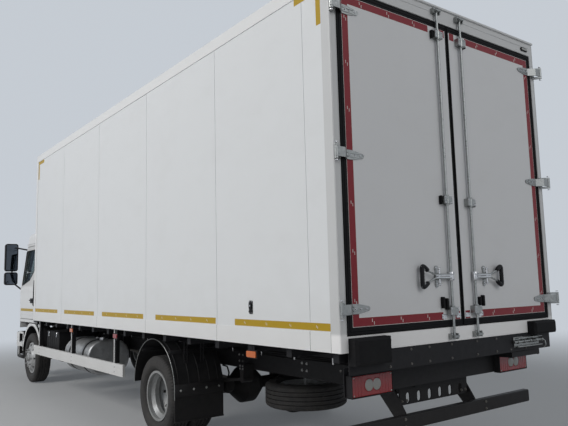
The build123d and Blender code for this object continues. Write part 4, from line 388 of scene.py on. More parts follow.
class Piece:
    count = 0
    side = 1

    def __init__(self, name, finish, body="chassis", slot=None):
        self.name, self.finish, self.body = name, finish, body
        self.slot = slot or SLOTS[finish]
        self.mesh = bmesh.new()

    def skin(self, rows, closed_rows=False):
        """Join rings of points, one after another, with faces; the ends close unless the rows do."""
        rings = [[self.mesh.verts.new(point) for point in row] for row in rows]
        pairs = list(zip(rings, rings[1:])) + ([(rings[-1], rings[0])] if closed_rows else [])
        for a, b in pairs:
            for i in range(len(a)):
                j = (i + 1) % len(a)
                self.mesh.faces.new((a[i], a[j], b[j], b[i]))
        if not closed_rows:
            self.mesh.faces.new(reversed(rings[0]))
            self.mesh.faces.new(rings[-1])

    def box(self, low, high, soften=0.0, steps=1):
        """A box between two corners, its edges rounded by soften."""
        ends = [sorted(pair) for pair in zip(mirrored(low), mirrored(high))]
        made = bmesh.ops.create_cube(self.mesh, size=1.0)["verts"]
        for vert in made:
            vert.co = [a + (vert.co[k] + 0.5) * (b - a) for k, (a, b) in enumerate(ends)]
        if soften:
            edges = {edge for vert in made for edge in vert.link_edges}
            bmesh.ops.bevel(self.mesh, geom=list(edges), offset=soften, segments=steps, affect="EDGES")

    def block(self, middle, size, soften=0.0, steps=1):
        """The same, given by its middle and its full size."""
        low, high = ([m + way * s / 2 for m, s in zip(middle, size)] for way in (-1, 1))
        self.box(low, high, soften, steps)

    def turned(self, centre, axis, profile, sides=20):
        """Turn a profile of (radius, distance along the axis) pairs about an axis; both ends close."""
        spin, centre = across(mirrored(axis)), Vector(mirrored(centre))
        self.skin([
            [centre + spin @ Vector((r * math.cos(t), r * math.sin(t), along)) for t in turns(sides)]
            for r, along in ((max(radius, 1e-5), along) for radius, along in profile)
        ])

    def rod(self, start, end, radius, sides=12, soften=0.0):
        """A straight round bar from one point to another."""
        start, end = Vector(start), Vector(end)
        length = (end - start).length
        profile = [(radius, 0), (radius, length)]
        if soften:
            thin = radius - soften
            profile = [(thin, 0), (radius, soften), (radius, length - soften), (thin, length)]
        self.turned(start, end - start, profile, sides)

    def tube(self, points, radius, sides=8, closed=False):
        """A round tube along a line of points."""
        points = [Vector(mirrored(p)) for p in points]
        rows, normal = [], None
        for i, point in enumerate(points):
            before = points[i - 1] if i or closed else point
            after = points[(i + 1) % len(points)] if i + 1 < len(points) or closed else point
            along = (after - before).normalized()
            if normal is None:
                normal = across(along) @ Vector((1, 0, 0))
            normal = (normal - along * normal.dot(along)).normalized()
            rows.append(circle(point, radius, sides, normal, along.cross(normal)))
        self.skin(rows, closed_rows=closed)

    def ring(self, centre, radius, thick, count=40, sides=6, **plane):
        """A closed tube round a circle."""
        self.tube(circle(centre, radius, count, **plane), thick, sides, closed=True)

    def plate(self, outline, origin, depth, toward="ahead"):
        """An upright flat outline made depth thick: ahead, back or out from the side."""
        u = Vector({"ahead": (0, 1, 0), "back": (0, -1, 0), "out": (-Piece.side, 0, 0)}[toward])
        origin, up = Vector(mirrored(origin)), Vector(UP)
        thick = u.cross(up) * depth
        flat = [origin + a * u + b * up for a, b in outline]
        self.skin([flat, [p + thick for p in flat]])

    def bolt(self, at, axis, radius=0.008, height=0.006, washer=1.7):
        """A hexagonal bolt head on a round washer."""
        at, axis = Vector(at), Vector(axis).normalized()
        thin, wide = height * 0.25, radius * washer
        self.turned(at, axis, [(wide, 0), (wide, thin), (radius * 0.9, thin * 1.2)], 16)
        self.turned(at + axis * thin, axis, [(radius, 0), (radius, height * 0.7), (radius * 0.8, height)], 6)

    def rivet(self, at, axis, radius=0.006):
        """A low domed rivet head."""
        self.turned(at, axis, [(radius, 0), (radius * 0.8, radius * 0.32), (radius * 0.3, radius * 0.5)], 10)

    def done(self, smooth=38, soften=0.0):
        bmesh.ops.recalc_face_normals(self.mesh, faces=self.mesh.faces)
        data = bpy.data.meshes.new(self.name)
        self.mesh.to_mesh(data)
        self.mesh.free()
        data.polygons.foreach_set("use_smooth", [True] * len(data.polygons))
        data.set_sharp_from_angle(angle=math.radians(smooth))
        data.materials.append(self.finish.material)
        thing = bpy.data.objects.new(self.name, data)
        bpy.context.scene.collection.objects.link(thing)
        if soften:
            edge = thing.modifiers.new("soft edges", "BEVEL")
            edge.width, edge.segments, edge.limit_method = soften, 2, "ANGLE"
        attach(thing, self.body)
        Piece.count += 1
        return thing


def mirrored(point):
    """The point, its y turned over while the right side is being built."""
    return (point[0], Piece.side * point[1], point[2])


def both_sides():
    """First 1 and left, then -1 and right, with y turned over meanwhile for the right."""
    for side, word in ((1, "left"), (-1, "right")):
        Piece.side = side
        yield side, word
    Piece.side = 1


# %% [markdown]
# ## Tyres with tread
#
# The fixed tyre is a smooth ring. A truck tyre on a steered or driven axle carries a few deep grooves
# round the tread and small cuts across its shoulders. The tyre is turned here from one section: points
# of radius and offset, with the grooves as steps down. Every fourth step of the turn, the outermost
# tread points sink a little, which makes the shoulder cuts. Raised rings on the sidewall catch light.

# %% Turn the road tyres and the spare
AXLE_Z = 0.419
FRONT_X, REAR_X = 3.590, -1.560
FRONT_Y, TWIN_Y = 0.985, (0.748, 1.028)
BEAD, TREAD, GROOVE = 0.2475, 0.4190, 0.4065
TYRE_SECTION = (
    (-0.0585, 0.2475), (-0.0855, 0.2475), (-0.0860, 0.2690), (-0.0950, 0.2790), (-0.1040, 0.2850),
    (-0.1050, 0.2890), (-0.1120, 0.2960), (-0.1180, 0.3120), (-0.1195, 0.3130), (-0.1215, 0.3290),
    (-0.1222, 0.3430), (-0.1216, 0.3570), (-0.1196, 0.3720), (-0.1206, 0.3740), (-0.1180, 0.3860),
    (-0.1145, 0.3930), (-0.1085, 0.4020), (-0.1000, 0.4120), (-0.0920, 0.4175), (-0.0700, 0.4186),
)
GROOVES = ((-0.0620, 0.010), (-0.0210, 0.011), (0.0210, 0.011), (0.0620, 0.010))


def tread_profile():
    """The outline of a tyre from one bead over the tread to the other bead."""
    wall = [p for p in TYRE_SECTION if p[0] < -0.069]
    tread = []
    for middle, width in GROOVES:
        tread += [
            (middle - width / 2, TREAD), (middle - width * 0.30, GROOVE),
            (middle + width * 0.30, GROOVE), (middle + width / 2, TREAD),
        ]
    other = [(-offset, radius) for offset, radius in reversed(wall)]
    return [TYRE_SECTION[0]] + wall + tread + other + [(-TYRE_SECTION[0][0], BEAD)]


def road_tyre(name, body, node, centres, axis, steps=288):
    """A tyre, or a pair of twins, turned about an axis, in place of the plain fixed one."""
    piece = Piece(name, tyre_rubber, body)
    spin = across(axis)
    along = spin @ Vector((0, 0, 1))
    outline = tread_profile()
    inner = [(offset * 0.80, max(BEAD, radius - 0.016)) for offset, radius in reversed(outline)][::6]
    for centre in centres:
        rows = []
        for i, t in enumerate(turns(steps)):
            ray = spin @ Vector((math.cos(t), math.sin(t), 0))
            section = []
            for offset, radius in outline:
                if i % 4 == 0 and abs(offset) > 0.088 and radius > 0.398:
                    radius -= 0.007
                if i % 8 == 2 and abs(offset) < 0.058 and radius > 0.4185:
                    radius -= 0.0035
                section.append((offset, radius))
            rows.append([Vector(centre) + ray * r + along * offset for offset, r in section + inner])
        piece.skin(rows, closed_rows=True)
    tyre = piece.done(smooth=30)
    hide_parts(node)
    return tyre


for side, word in both_sides():
    road_tyre(f"front_{word}_road_tyre", f"front_{word}_wheel", f"front_{word}_tyre",
              [(FRONT_X, side * FRONT_Y, AXLE_Z)], (0, side, 0))
    road_tyre(f"rear_{word}_road_tyres", f"rear_{word}_wheels", f"rear_{word}_tyres",
              [(REAR_X, side * y, AXLE_Z) for y in TWIN_Y], (0, side, 0))
road_tyre("spare_road_tyre", "chassis", "spare_tyre", [(-2.710, 0, 0.462)], (0, 0, 1), 144)
print("tyre section:", len(tread_profile()), "points")

# %% [markdown]
# ## Hubs and wheel fittings
#
# The solids give the rim, the disc, the hub and eight nuts. Close up a wheel also has studs that stand
# out of the nuts, a hub cap with its own ring of small bolts, and a valve stem in a hand hole.
# Everything turns with the wheel, so it rides on its body.

# %% Studs, hub caps and valves
STUD_CIRCLE = 0.1375


def wheel_fittings(axle, body, middle, face, nose, radius):
    """Small turned pieces on the outer face of one wheel; distances run outward from its middle."""
    out, middle = Vector(OUT), Vector(middle)
    studs = Piece(f"{axle}_studs", bolt_steel, body)
    for at in circle(middle + out * face, STUD_CIRCLE, 8, AHEAD):
        studs.turned(at, out, [(0.0205, 0), (0.0205, 0.004), (0.0165, 0.0055)], 18)
        studs.turned(at + out * 0.020, out, [(0.0095, 0), (0.0095, 0.013), (0.0075, 0.015)], 12)
    studs.done()
    cap = Piece(f"{axle}_hub_cap", rim_grey, body)
    base = middle + out * nose
    cap.turned(base, out, [
        (radius, -0.004), (radius, 0.002), (radius * 0.93, 0.005), (radius * 0.72, 0.006),
        (radius * 0.70, 0.003), (radius * 0.45, 0.0035), (radius * 0.42, 0.007), (radius * 0.2, 0.008),
    ], 40)
    for t in turns(8):
        t += math.pi / 8
        ray = Vector((math.cos(t), 0, math.sin(t)))
        cap.bolt(base + 0.83 * radius * ray + out * 0.0052, out, 0.0045, 0.004)
    cap.done()
    valve = Piece(f"{axle}_valve", bright_steel, body)
    tip = middle + Vector((0.150, 0, 0.128)) + out * (face - 0.006)
    root = middle + Vector((0.158, 0, 0.135)) + out * (face - 0.072)
    valve.tube([root, (root + tip) / 2 + out * 0.01, tip], 0.0036)
    valve.turned(tip, tip - root, [(0.0055, -0.002), (0.0055, 0.010), (0.0035, 0.013)], 10)
    valve.done()


for side, word in both_sides():
    front, rear = f"front_{word}", f"rear_{word}"
    wheel_fittings(front, f"{front}_wheel", (FRONT_X, FRONT_Y, AXLE_Z), 0.140, 0.172, 0.050)
    wheel_fittings(rear, f"{rear}_wheels", (REAR_X, TWIN_Y[1], AXLE_Z), -0.126, -0.044, 0.062)
print("wheel fittings done")

# %% [markdown]
# ## Rear doors: tape, rubber lips and bolts
#
# The rear doors carry most of what the photograph shows. A red reflective contour runs along each door's
# edge, the black seal round it has two rolled lips, and every hinge strap and rod guide is bolted on.
# Tape is thin, so its boxes stand only a fifth of a millimetre off the panel and pass under the straps.

# %% Contour tape and seal lips of the doors
REAR = -4.710
DOOR_LOW, DOOR_HIGH = 1.264, 3.617
TAPE_OUTER, TAPE = 1.183, 0.061
TAPE_INNER = 1.184 - TAPE
FILM, EDGE_FILM = 0.0002, 0.00022


def film(piece, y, z, lift=FILM):
    """A flat strip on a door's outer face, over ranges of y and z."""
    piece.box((REAR - lift, y[0], z[0]), (REAR + 0.0004, y[1], z[1]))


def dash(piece, y, z, half, low, high):
    """Two small pale marks on the tape, one a little higher than the other."""
    for step in (-half, half):
        film(piece, (y[0] + step, y[1] + step), (z - low + step, z + high + step), EDGE_FILM)


for side, word in both_sides():
    body = f"{word}_rear_door"
    red = Piece(f"{word}_door_contour_tape", tape_red, body)
    edges = Piece(f"{word}_door_tape_edges", tape_pale, body)
    film(red, (TAPE_INNER, TAPE_OUTER), (DOOR_LOW, DOOR_HIGH))
    for low in (DOOR_LOW, DOOR_HIGH - TAPE):
        for y in ((0.238, TAPE_INNER), (0.034, 0.094)):
            film(red, y, (low, low + TAPE))
    for y, cut in ((TAPE_INNER - 0.002, TAPE), (TAPE_OUTER - 0.0016, 0)):
        film(edges, (y, y + 0.002), (DOOR_LOW + cut, DOOR_HIGH - cut), EDGE_FILM)
    for z, end in (
        (DOOR_LOW, TAPE_OUTER), (DOOR_LOW + TAPE - 0.001, TAPE_INNER),
        (DOOR_HIGH - TAPE, TAPE_INNER), (DOOR_HIGH - 0.002, TAPE_OUTER),
    ):
        film(edges, (0.238, end), (z, z + 0.002), EDGE_FILM)
    for z in spread(DOOR_LOW + 0.17, (DOOR_HIGH - DOOR_LOW - 0.34) / 6, 7):
        dash(edges, (TAPE_INNER + 0.024, TAPE_INNER + 0.029), z, 0.008, 0.011, 0.011)
    for y in spread(0.41, 0.29, 3):
        for z in (DOOR_LOW + TAPE / 2, DOOR_HIGH - TAPE / 2):
            dash(edges, (y - 0.003, y + 0.003), z, 0.009, 0.012, 0.010)
    red.done()
    edges.done()
    lips = Piece(f"{word}_door_seal_lips", rubber_black, body)
    for y, width, height, radius in ((0.612, 1.194, 2.405, 0.004), (0.61925, 1.2195, 2.446, 0.003)):
        lips.tube([
            (REAR - 0.0002, y + dy, 2.4405 + dz) for dy, dz in rounded(width, height, 0.006, 3)
        ], radius, closed=True)
    lips.done(smooth=60)
print("door tape and seals done")

# %% [markdown]
# ## Lock gear and hinge hardware
#
# Galvanised fittings read as real through their fasteners. Each strap has three bolts, each rod guide
# four, dark blocks stand beside the rods, and the handles end in moulded black grips.
# `each` gives every point of a small grid, and `near` the values a step below and above another.

# %% Bolts, bushes and grips on the doors
HINGES = (1.385, 2.445, 3.505)
GUIDES = (1.330, 2.190, 3.545)
ROD_ENDS = (1.138, 3.748)
ROD_X, ROD_Y, HANDLE_Z = REAR - 0.024, 0.150, 1.595
CATCH_Y = 0.300
KNOB = [(0.0075, 0), (0.0125, 0.004), (0.0125, 0.012), (0.0075, 0.016)]


def listed(values):
    return values if hasattr(values, "__iter__") else (values,)


def near(values, step):
    return [v + way for v in listed(values) for way in (-step, step)]


def each(xs, ys, zs):
    return [(x, y, z) for x in listed(xs) for y in listed(ys) for z in listed(zs)]


def curve(start, toward, end, steps):
    """Points of a bend from start to end that leans toward a third point."""
    a, b, c = Vector(start), Vector(toward), Vector(end)
    return [(1 - t) ** 2 * a + 2 * t * (1 - t) * b + t * t * c for t in spread(0, 1 / steps, steps + 1)]


for side, word in both_sides():
    body = f"{word}_rear_door"
    bolts = Piece(f"{word}_door_bolts", bright_steel, body)
    for at in each(REAR - 0.0083, (1.062, 1.112, 1.158), HINGES):
        bolts.bolt(at, BACK, 0.0058, 0.0062, 1.15)
    for at in each(REAR - 0.042, near(ROD_Y, 0.036), near(GUIDES, 0.020)):
        bolts.bolt(at, BACK, 0.0055, 0.005, 1.4)
    for at in each(REAR - 0.0063, CATCH_Y, near(HANDLE_Z, 0.062)):
        bolts.bolt(at, BACK, 0.0075, 0.007, 1.5)
    bolts.bolt((REAR - 0.0290, CATCH_Y, HANDLE_Z), BACK, 0.0080, 0.006, 1.3)
    bolts.done()

    guides = Piece(f"{word}_rod_guides", galvanised, body)
    for z in GUIDES:
        for dz in (-0.041, 0.031):
            collar = [(0.0165, 0), (0.0185, 0.002), (0.0185, 0.008), (0.0165, 0.010)]
            guides.turned((ROD_X, ROD_Y, z + dz), UP, collar, 24)
        guides.turned((ROD_X, ROD_Y, z - 0.030), UP, [(0.0215, 0), (0.0215, 0.060)], 24)
    for z in (1.470, 1.700, 2.000, 2.420, 2.900, 3.300):
        guides.turned((ROD_X, ROD_Y, z), UP, [(0.0122, 0), (0.0122, 0.004)])
    for z in ROD_ENDS:
        for y in near(ROD_Y, 0.026):
            guides.block((REAR - 0.03725, y, z), (0.0225, 0.014, 0.024), 0.004, 2)
        guides.block((REAR - 0.045, ROD_Y, z), (0.014, 0.066, 0.016), 0.0035, 2)
    guides.done()

    # Dark blocks on the door beside the rods, by the lowest hinge and the upper rod guides.
    side_blocks = Piece(f"{word}_rod_dark_blocks", rubber_black, body, "black_plastic")
    for y, z in ((0.208, 1.384), (0.252, 1.396)):
        side_blocks.plate(rounded(0.021, 0.088, 0.0100, 5), (REAR - 0.0300, y, z), 0.0294)
    for z in GUIDES[1:]:
        side_blocks.plate(rounded(0.015, 0.070, 0.007, 5), (REAR - 0.0280, 0.210, z), 0.0274)
    side_blocks.done(soften=0.003)

    clips = Piece(f"{word}_door_clips", bright_steel, body)
    for y in (0.060, 0.232):
        clips.plate(rounded(0.052, 0.034, 0.002, 2), (REAR - 0.0055, y, 1.292), 0.0052)
        for at in each(REAR - 0.0055, near(y, 0.015), 1.292):
            clips.bolt(at, BACK, 0.0045, 0.004, 1.4)
    clips.done()

    grip = Piece(f"{word}_handle_grip", moulded_black, body)
    grip_x, grip_y = REAR - 0.036, 0.500
    waves = [(0.0158 + 0.0016 * (i % 2), -0.052 + i * 0.0104) for i in range(11)]
    grip.turned((grip_x, grip_y, HANDLE_Z), UP, waves, 24)
    for end in (1, -1):
        bow = curve((-0.062, 0.046), (0.004, 0.104), (0.0, 0.050), 8)
        grip.tube([(grip_x, grip_y + p.x, HANDLE_Z + end * p.y) for p in bow], 0.0166, 14)
    grip.done(smooth=50)

    fork = Piece(f"{word}_handle_fork", bright_steel, body)
    for z in near(HANDLE_Z, 0.0105):
        fork.block((REAR - 0.03625, 0.2575, z), (0.0125, 0.185, 0.015), 0.003, 2)
    fork.turned((ROD_X, ROD_Y, HANDLE_Z - 0.034), UP, [
        (0.022, 0), (0.024, 0.003), (0.024, 0.020), (0.0205, 0.022),
        (0.0205, 0.046), (0.024, 0.048), (0.024, 0.065), (0.022, 0.068),
    ], 24)
    for at in each(REAR - 0.0480, ROD_Y, near(HANDLE_Z, 0.025)):
        fork.bolt(at, BACK, 0.006, 0.006, 1.1)
    for dz, profile in ((-0.060, [(0.0075, 0), (0.0075, 0.120)]), (0.052, KNOB), (-0.068, KNOB)):
        fork.turned((REAR - 0.0330, CATCH_Y, HANDLE_Z + dz), UP, profile, 14)
    fork.done()

# %% Fasteners of the portal, its edge beads and marker lamps
portal = Piece("portal_fasteners", bright_steel)
beads = Piece("portal_edge_beads", portal_white)
bezels = Piece("header_lamp_bezels", moulded_black)
glows = Piece("header_lamp_lenses", lens_clear)
for side, word in both_sides():
    for at in each(REAR - 0.0063, 1.268, near(HINGES, 0.046)):
        portal.bolt(at, BACK, 0.0065, 0.007, 1.3)
    for x, y, z in each(REAR - 0.052, 1.325, near(HINGES, 0.062)):
        pin = [(0.0105, 0), (0.0115, 0.001), (0.0115, 0.007), (0.0095, 0.008)]
        portal.turned((x, y, z - 0.004), UP, pin, 18)
    for z in ROD_ENDS:
        for y in (-0.029, 0.029):
            portal.bolt((REAR - 0.0023, ROD_Y + y * 0.1, z + y * 0.42), BACK, 0.004, 0.003, 1.2)
    beads.box((REAR - 0.0025, 1.2425, 1.215), (REAR + 0.001, 1.2475, 3.668), 0.001)
    beads.box((REAR - 0.0020, 1.2920, 1.110), (REAR + 0.001, 1.2960, 3.790), 0.0008)
    beads.box((REAR - 0.0025, 0.200, 3.6760), (REAR + 0.001, 1.2475, 3.6800), 0.001)
    bezels.plate(rounded(0.110, 0.036, 0.017, 6), (REAR - 0.0080, 1.157, 3.722), 0.0078)
    glows.plate(rounded(0.086, 0.020, 0.0095, 6), (REAR - 0.0150, 1.157, 3.722), 0.0072)
beads.box((REAR - 0.0025, -0.880, 1.1080), (REAR + 0.001, 0.880, 1.1130), 0.001)
portal.done()
beads.done()
bezels.done(soften=0.002)
glows.done(soften=0.003)
print("rear hardware done:", Piece.count, "pieces so far")

# %% [markdown]
# ## Below the sill
#
# Tail lamps are red boxes with two round silvery reflectors behind the lens, side by side. Around them
# hang the empty plate holder with its lamps, the buffers' bolts and a galvanised latch for a folding step.

# %% Tail lamps
LAMP_X, LAMP_Z = -4.560, 0.842
frames = Piece("tail_lamp_frames", moulded_black)
eyes = Piece("tail_lamp_reflectors", lens_clear)
ribs = Piece("tail_lamp_ribs", lens_red)
for side, word in both_sides():
    for y0, y1, z0, z1 in (
        (0.664, 1.076, 0.762, 0.769), (0.664, 1.076, 0.915, 0.922),
        (0.664, 0.671, 0.762, 0.922), (1.069, 1.076, 0.762, 0.922),
    ):
        frames.box((LAMP_X - 0.003, y0, z0), (LAMP_X + 0.059, y1, z1), 0.002)
    for y in (0.832, 0.908):
        at = (LAMP_X + 0.001, y, LAMP_Z)
        dome = [(0.041, 0), (0.041, 0.0035), (0.036, 0.0055), (0.020, 0.0075), (0.0, 0.0080)]
        rim = [(0.047, 0), (0.047, 0.0030), (0.0440, 0.0045), (0.0425, 0.0045), (0.0425, 0.001)]
        eyes.turned(at, BACK, dome, 32)
        ribs.turned(at, BACK, rim, 32)
    for y in spread(0.690, 0.030, 4) + spread(0.960, 0.030, 4):
        ribs.box((LAMP_X - 0.0016, y, 0.778), (LAMP_X + 0.001, y + 0.024, 0.906), 0.0012)
    for at in each(LAMP_X + 0.001, (0.685, 1.055), (0.781, 0.903)):
        eyes.turned(at, BACK, [(0.006, 0), (0.006, 0.003), (0.004, 0.004)], 12)
frames.done()
eyes.done(smooth=50)
ribs.done()

# %% Buffer bolts, step latch, plate holder and bracket fasteners
BUFFER_X, LATCH_X, LATCH_Z = -4.7885, REAR - 0.0235, 1.034
PLATE_X, FRAME_END_X = -4.3915, -4.392
buffer_bolts = Piece("buffer_bolts", bolt_steel)
buffer_ribs = Piece("buffer_mouldings", rubber_black)
for side, word in both_sides():
    bolt_z, rib_z = (1.075, (1.045, 1.105, 1.165)) if side > 0 else (1.140, (1.120, 1.160))
    for y in (0.975, 1.145):
        dish = [(0.019, 0), (0.019, 0.0006), (0.011, 0.0008), (0.010, 0.0002)]
        buffer_bolts.turned((BUFFER_X, y, bolt_z), BACK, dish, 18)
        head = [(0.0085, 0), (0.0085, 0.0010), (0.005, 0.0012)]
        buffer_bolts.turned((BUFFER_X - 0.0002, y, bolt_z), BACK, head, 6)
    for z in rib_z:
        for y0, y1 in ((0.889, 0.892), (1.228, 1.2305)):
            buffer_ribs.box((-4.775, y0, z - 0.008), (-4.725, y1, z + 0.008), 0.001)
buffer_bolts.done()
buffer_ribs.done()

latch = Piece("step_latch", galvanised)
latch.box((REAR - 0.0085, -1.040, 0.988), (REAR - 0.0004, -0.660, 1.072), 0.002)
for z in (0.990, 1.062):
    latch.box((REAR - 0.0480, -1.030, z), (REAR - 0.0080, -0.670, z + 0.008), 0.002)
latch.rod((LATCH_X, -1.075, LATCH_Z), (LATCH_X, -0.640, LATCH_Z), 0.0125, 16, 0.003)
for y in spread(-1.050, 0.090, 5):
    latch.turned((LATCH_X, y, LATCH_Z), OUT, [(0.0175, -0.009), (0.0175, 0.009)], 16)
latch.tube([
    (LATCH_X + 0.0165 * math.cos(0.9 * i), -0.945 + i * 0.0018, LATCH_Z + 0.0165 * math.sin(0.9 * i))
    for i in range(36)
], 0.0022, 6)
hook = ((0, -1.073, 1.034), (-0.018, -1.082, 1.020), (-0.022, -1.082, 0.985), (-0.006, -1.082, 0.965))
latch.tube([(LATCH_X + dx, y, z) for dx, y, z in hook], 0.006)
latch.done()

step = Piece("folded_step", chassis_black)
step.box((-4.705, -1.060, 0.930), (-4.640, -0.640, 0.950), 0.003)
step.box((-4.705, -1.060, 0.905), (-4.697, -0.640, 0.935), 0.002)
for y in (-1.050, -0.660):
    step.box((-4.700, y - 0.006, 0.900), (-4.560, y + 0.006, 0.952), 0.002)
for y in spread(-1.020, 0.042, 9):
    step.box((-4.700, y, 0.949), (-4.645, y + 0.016, 0.953), 0.001)
step.done()

closing = Piece("closing_plate_bolts", cast_metal, slot="galvanised")
fixings = Piece("rear_frame_bolts", cast_metal, slot="galvanised")
caps = Piece("underrun_end_caps", moulded_black)
for side, word in both_sides():
    for x, y, z in each(REAR + 0.0001, (0.16, 0.42, 0.62, 0.84), (0.975, 1.078)):
        if side > 0 or y < 0.6 or z < 1.0:
            closing.bolt((x, y, z), BACK, 0.007, 0.006, 1.4)
    for y, z in ((0.560, 0.950), (0.600, 0.950), (0.985, 0.948), (1.040, 0.948), (0.720, 0.950)):
        fixings.bolt((-4.500, y, z), BACK, 0.008, 0.007, 1.3)
    for y, z in ((0.395, 0.905), (0.395, 0.860), (0.340, 0.905), (0.395, 0.640), (0.340, 0.640)):
        fixings.bolt((FRAME_END_X, y, z), BACK, 0.009, 0.008, 1.3)
    for y in (0.9, 1.12):
        fixings.bolt((-4.500, y, 0.955), BACK, 0.007, 0.006, 1.3)
    for z in near(0.512, 0.028):
        fixings.bolt((-4.5153, 0.500, z), BACK, 0.009, 0.008, 1.3)
    caps.plate(rounded(0.058, 0.102, 0.012), (-4.485, 1.1495, 0.512), 0.006, "out")
closing.done()
fixings.done()
caps.done(soften=0.002)

holder = Piece("number_plate_holder", moulded_black)
holder.plate(rounded(0.540, 0.132, 0.014), (-4.4165, 0.0, 0.800), 0.006)
for y in (-0.200, 0.200):
    holder.box((-4.4120, y - 0.02, 0.760), (PLATE_X, y + 0.02, 0.840), 0.002)
    holder.box((-4.4420, y - 0.030, 0.878), (-4.4020, y + 0.030, 0.902), 0.006, 2)
    holder.box((-4.4120, y - 0.012, 0.866), (PLATE_X, y + 0.012, 0.905), 0.002)
holder.done()
print("sill and lamps done:", Piece.count, "pieces so far")

# %% [markdown]
# ## Side tape, joints and small lamps
#
# A row of yellow reflective strips lies just above the skirt, with corner pieces at the top. The skirt
# and roof rails are long extrusions: their joints show as dark hairlines, their ribs as thin beads.
# A station is a distance in metres from the rear of the body, forward.

# %% Tape and rail joints on both sides
WALL_Y, RAIL_Y = 1.294, 1.300
LOW_TAPES = ((0.090, 1.300), (1.610, 2.825), (3.130, 4.350), (4.630, 5.840), (6.160, 7.335))
JOINTS = (0.313, 1.585, 3.060, 4.510, 5.960)
SKIRT = (1.102, 1.2345)
CORNER_TAPES = ((0.096, 0.400, 0.096), (7.030, 7.334, 7.280))
PALE = 0.0005


def x_at(station):
    return REAR + station


def side_film(piece, wall, stations, z, lift=0.0003):
    """A flat strip on a side, over ranges of stations and z."""
    piece.box((x_at(stations[0]), wall - 0.0005, z[0]), (x_at(stations[1]), wall + lift, z[1]))


for side, word in both_sides():
    yellow = Piece(f"{word}_side_tape", tape_yellow)
    pale = Piece(f"{word}_side_tape_edges", tape_pale)
    for low, high in LOW_TAPES:
        side_film(yellow, WALL_Y, (low, high), (1.2385, 1.2950))
        for z in (1.2385, 1.2925):
            side_film(pale, WALL_Y, (low, high), (z, z + 0.0025), PALE)
        count = round((high - low) / 0.30)
        pitch = (high - low) / count
        for middle in spread(low + pitch / 2, pitch, count):
            for step in (-0.006, 0.006):
                mark = (middle + step - 0.0022, middle + step + 0.0022)
                side_film(pale, WALL_Y, mark, (1.258 + step * 0.6, 1.274 + step * 0.6), PALE)
    for low, high, edge in CORNER_TAPES:
        side_film(yellow, WALL_Y, (low, high), (3.647, 3.701))
        side_film(yellow, WALL_Y, (edge, edge + 0.054), (3.405, 3.648))
        side_film(pale, WALL_Y, (low, high), (3.647, 3.6495), PALE)
        side_film(pale, WALL_Y, (edge, edge + 0.0025), (3.405, 3.648), PALE)
    yellow.done()
    pale.done()
    lines = Piece(f"{word}_rail_joints", moulded_black, slot="rail_metal")
    for half, stations in ((0.0014, JOINTS), (0.001, (0.093, 7.3385))):
        for s in stations:
            side_film(lines, RAIL_Y, (s - half, s + half), SKIRT, 0.0002)
    lines.done()
    bead = Piece(f"{word}_rail_beads", rail_white)
    for z, half in ((1.112, 0.0016), (1.230, 0.0016), (3.709, 0.002), (3.745, 0.002), (3.792, 0.002)):
        bead.box((x_at(0.094), RAIL_Y - 0.001, z - half), (x_at(7.419), RAIL_Y - 0.0001, z + half), 0.0004)
    for z in spread(1.130, 0.320, 9):
        bead.rivet((x_at(7.380), RAIL_Y - 0.0022, z), OUT, 0.0045)
    for at in each(spread(x_at(0.13), 0.150, 49), RAIL_Y - 0.0022, (1.2130, 3.7250)):
        bead.rivet(at, OUT, 0.0042)
    bead.done()
print("side tape and rails done")

# %% [markdown]
# ## Marker lamps and door retainers
#
# Each lamp is three shapes: a dark bracket from the bearer, a moulded base and a domed lens. The red
# and orange ones hang under the skirt. The retainer by the rear corner catches the opened door.

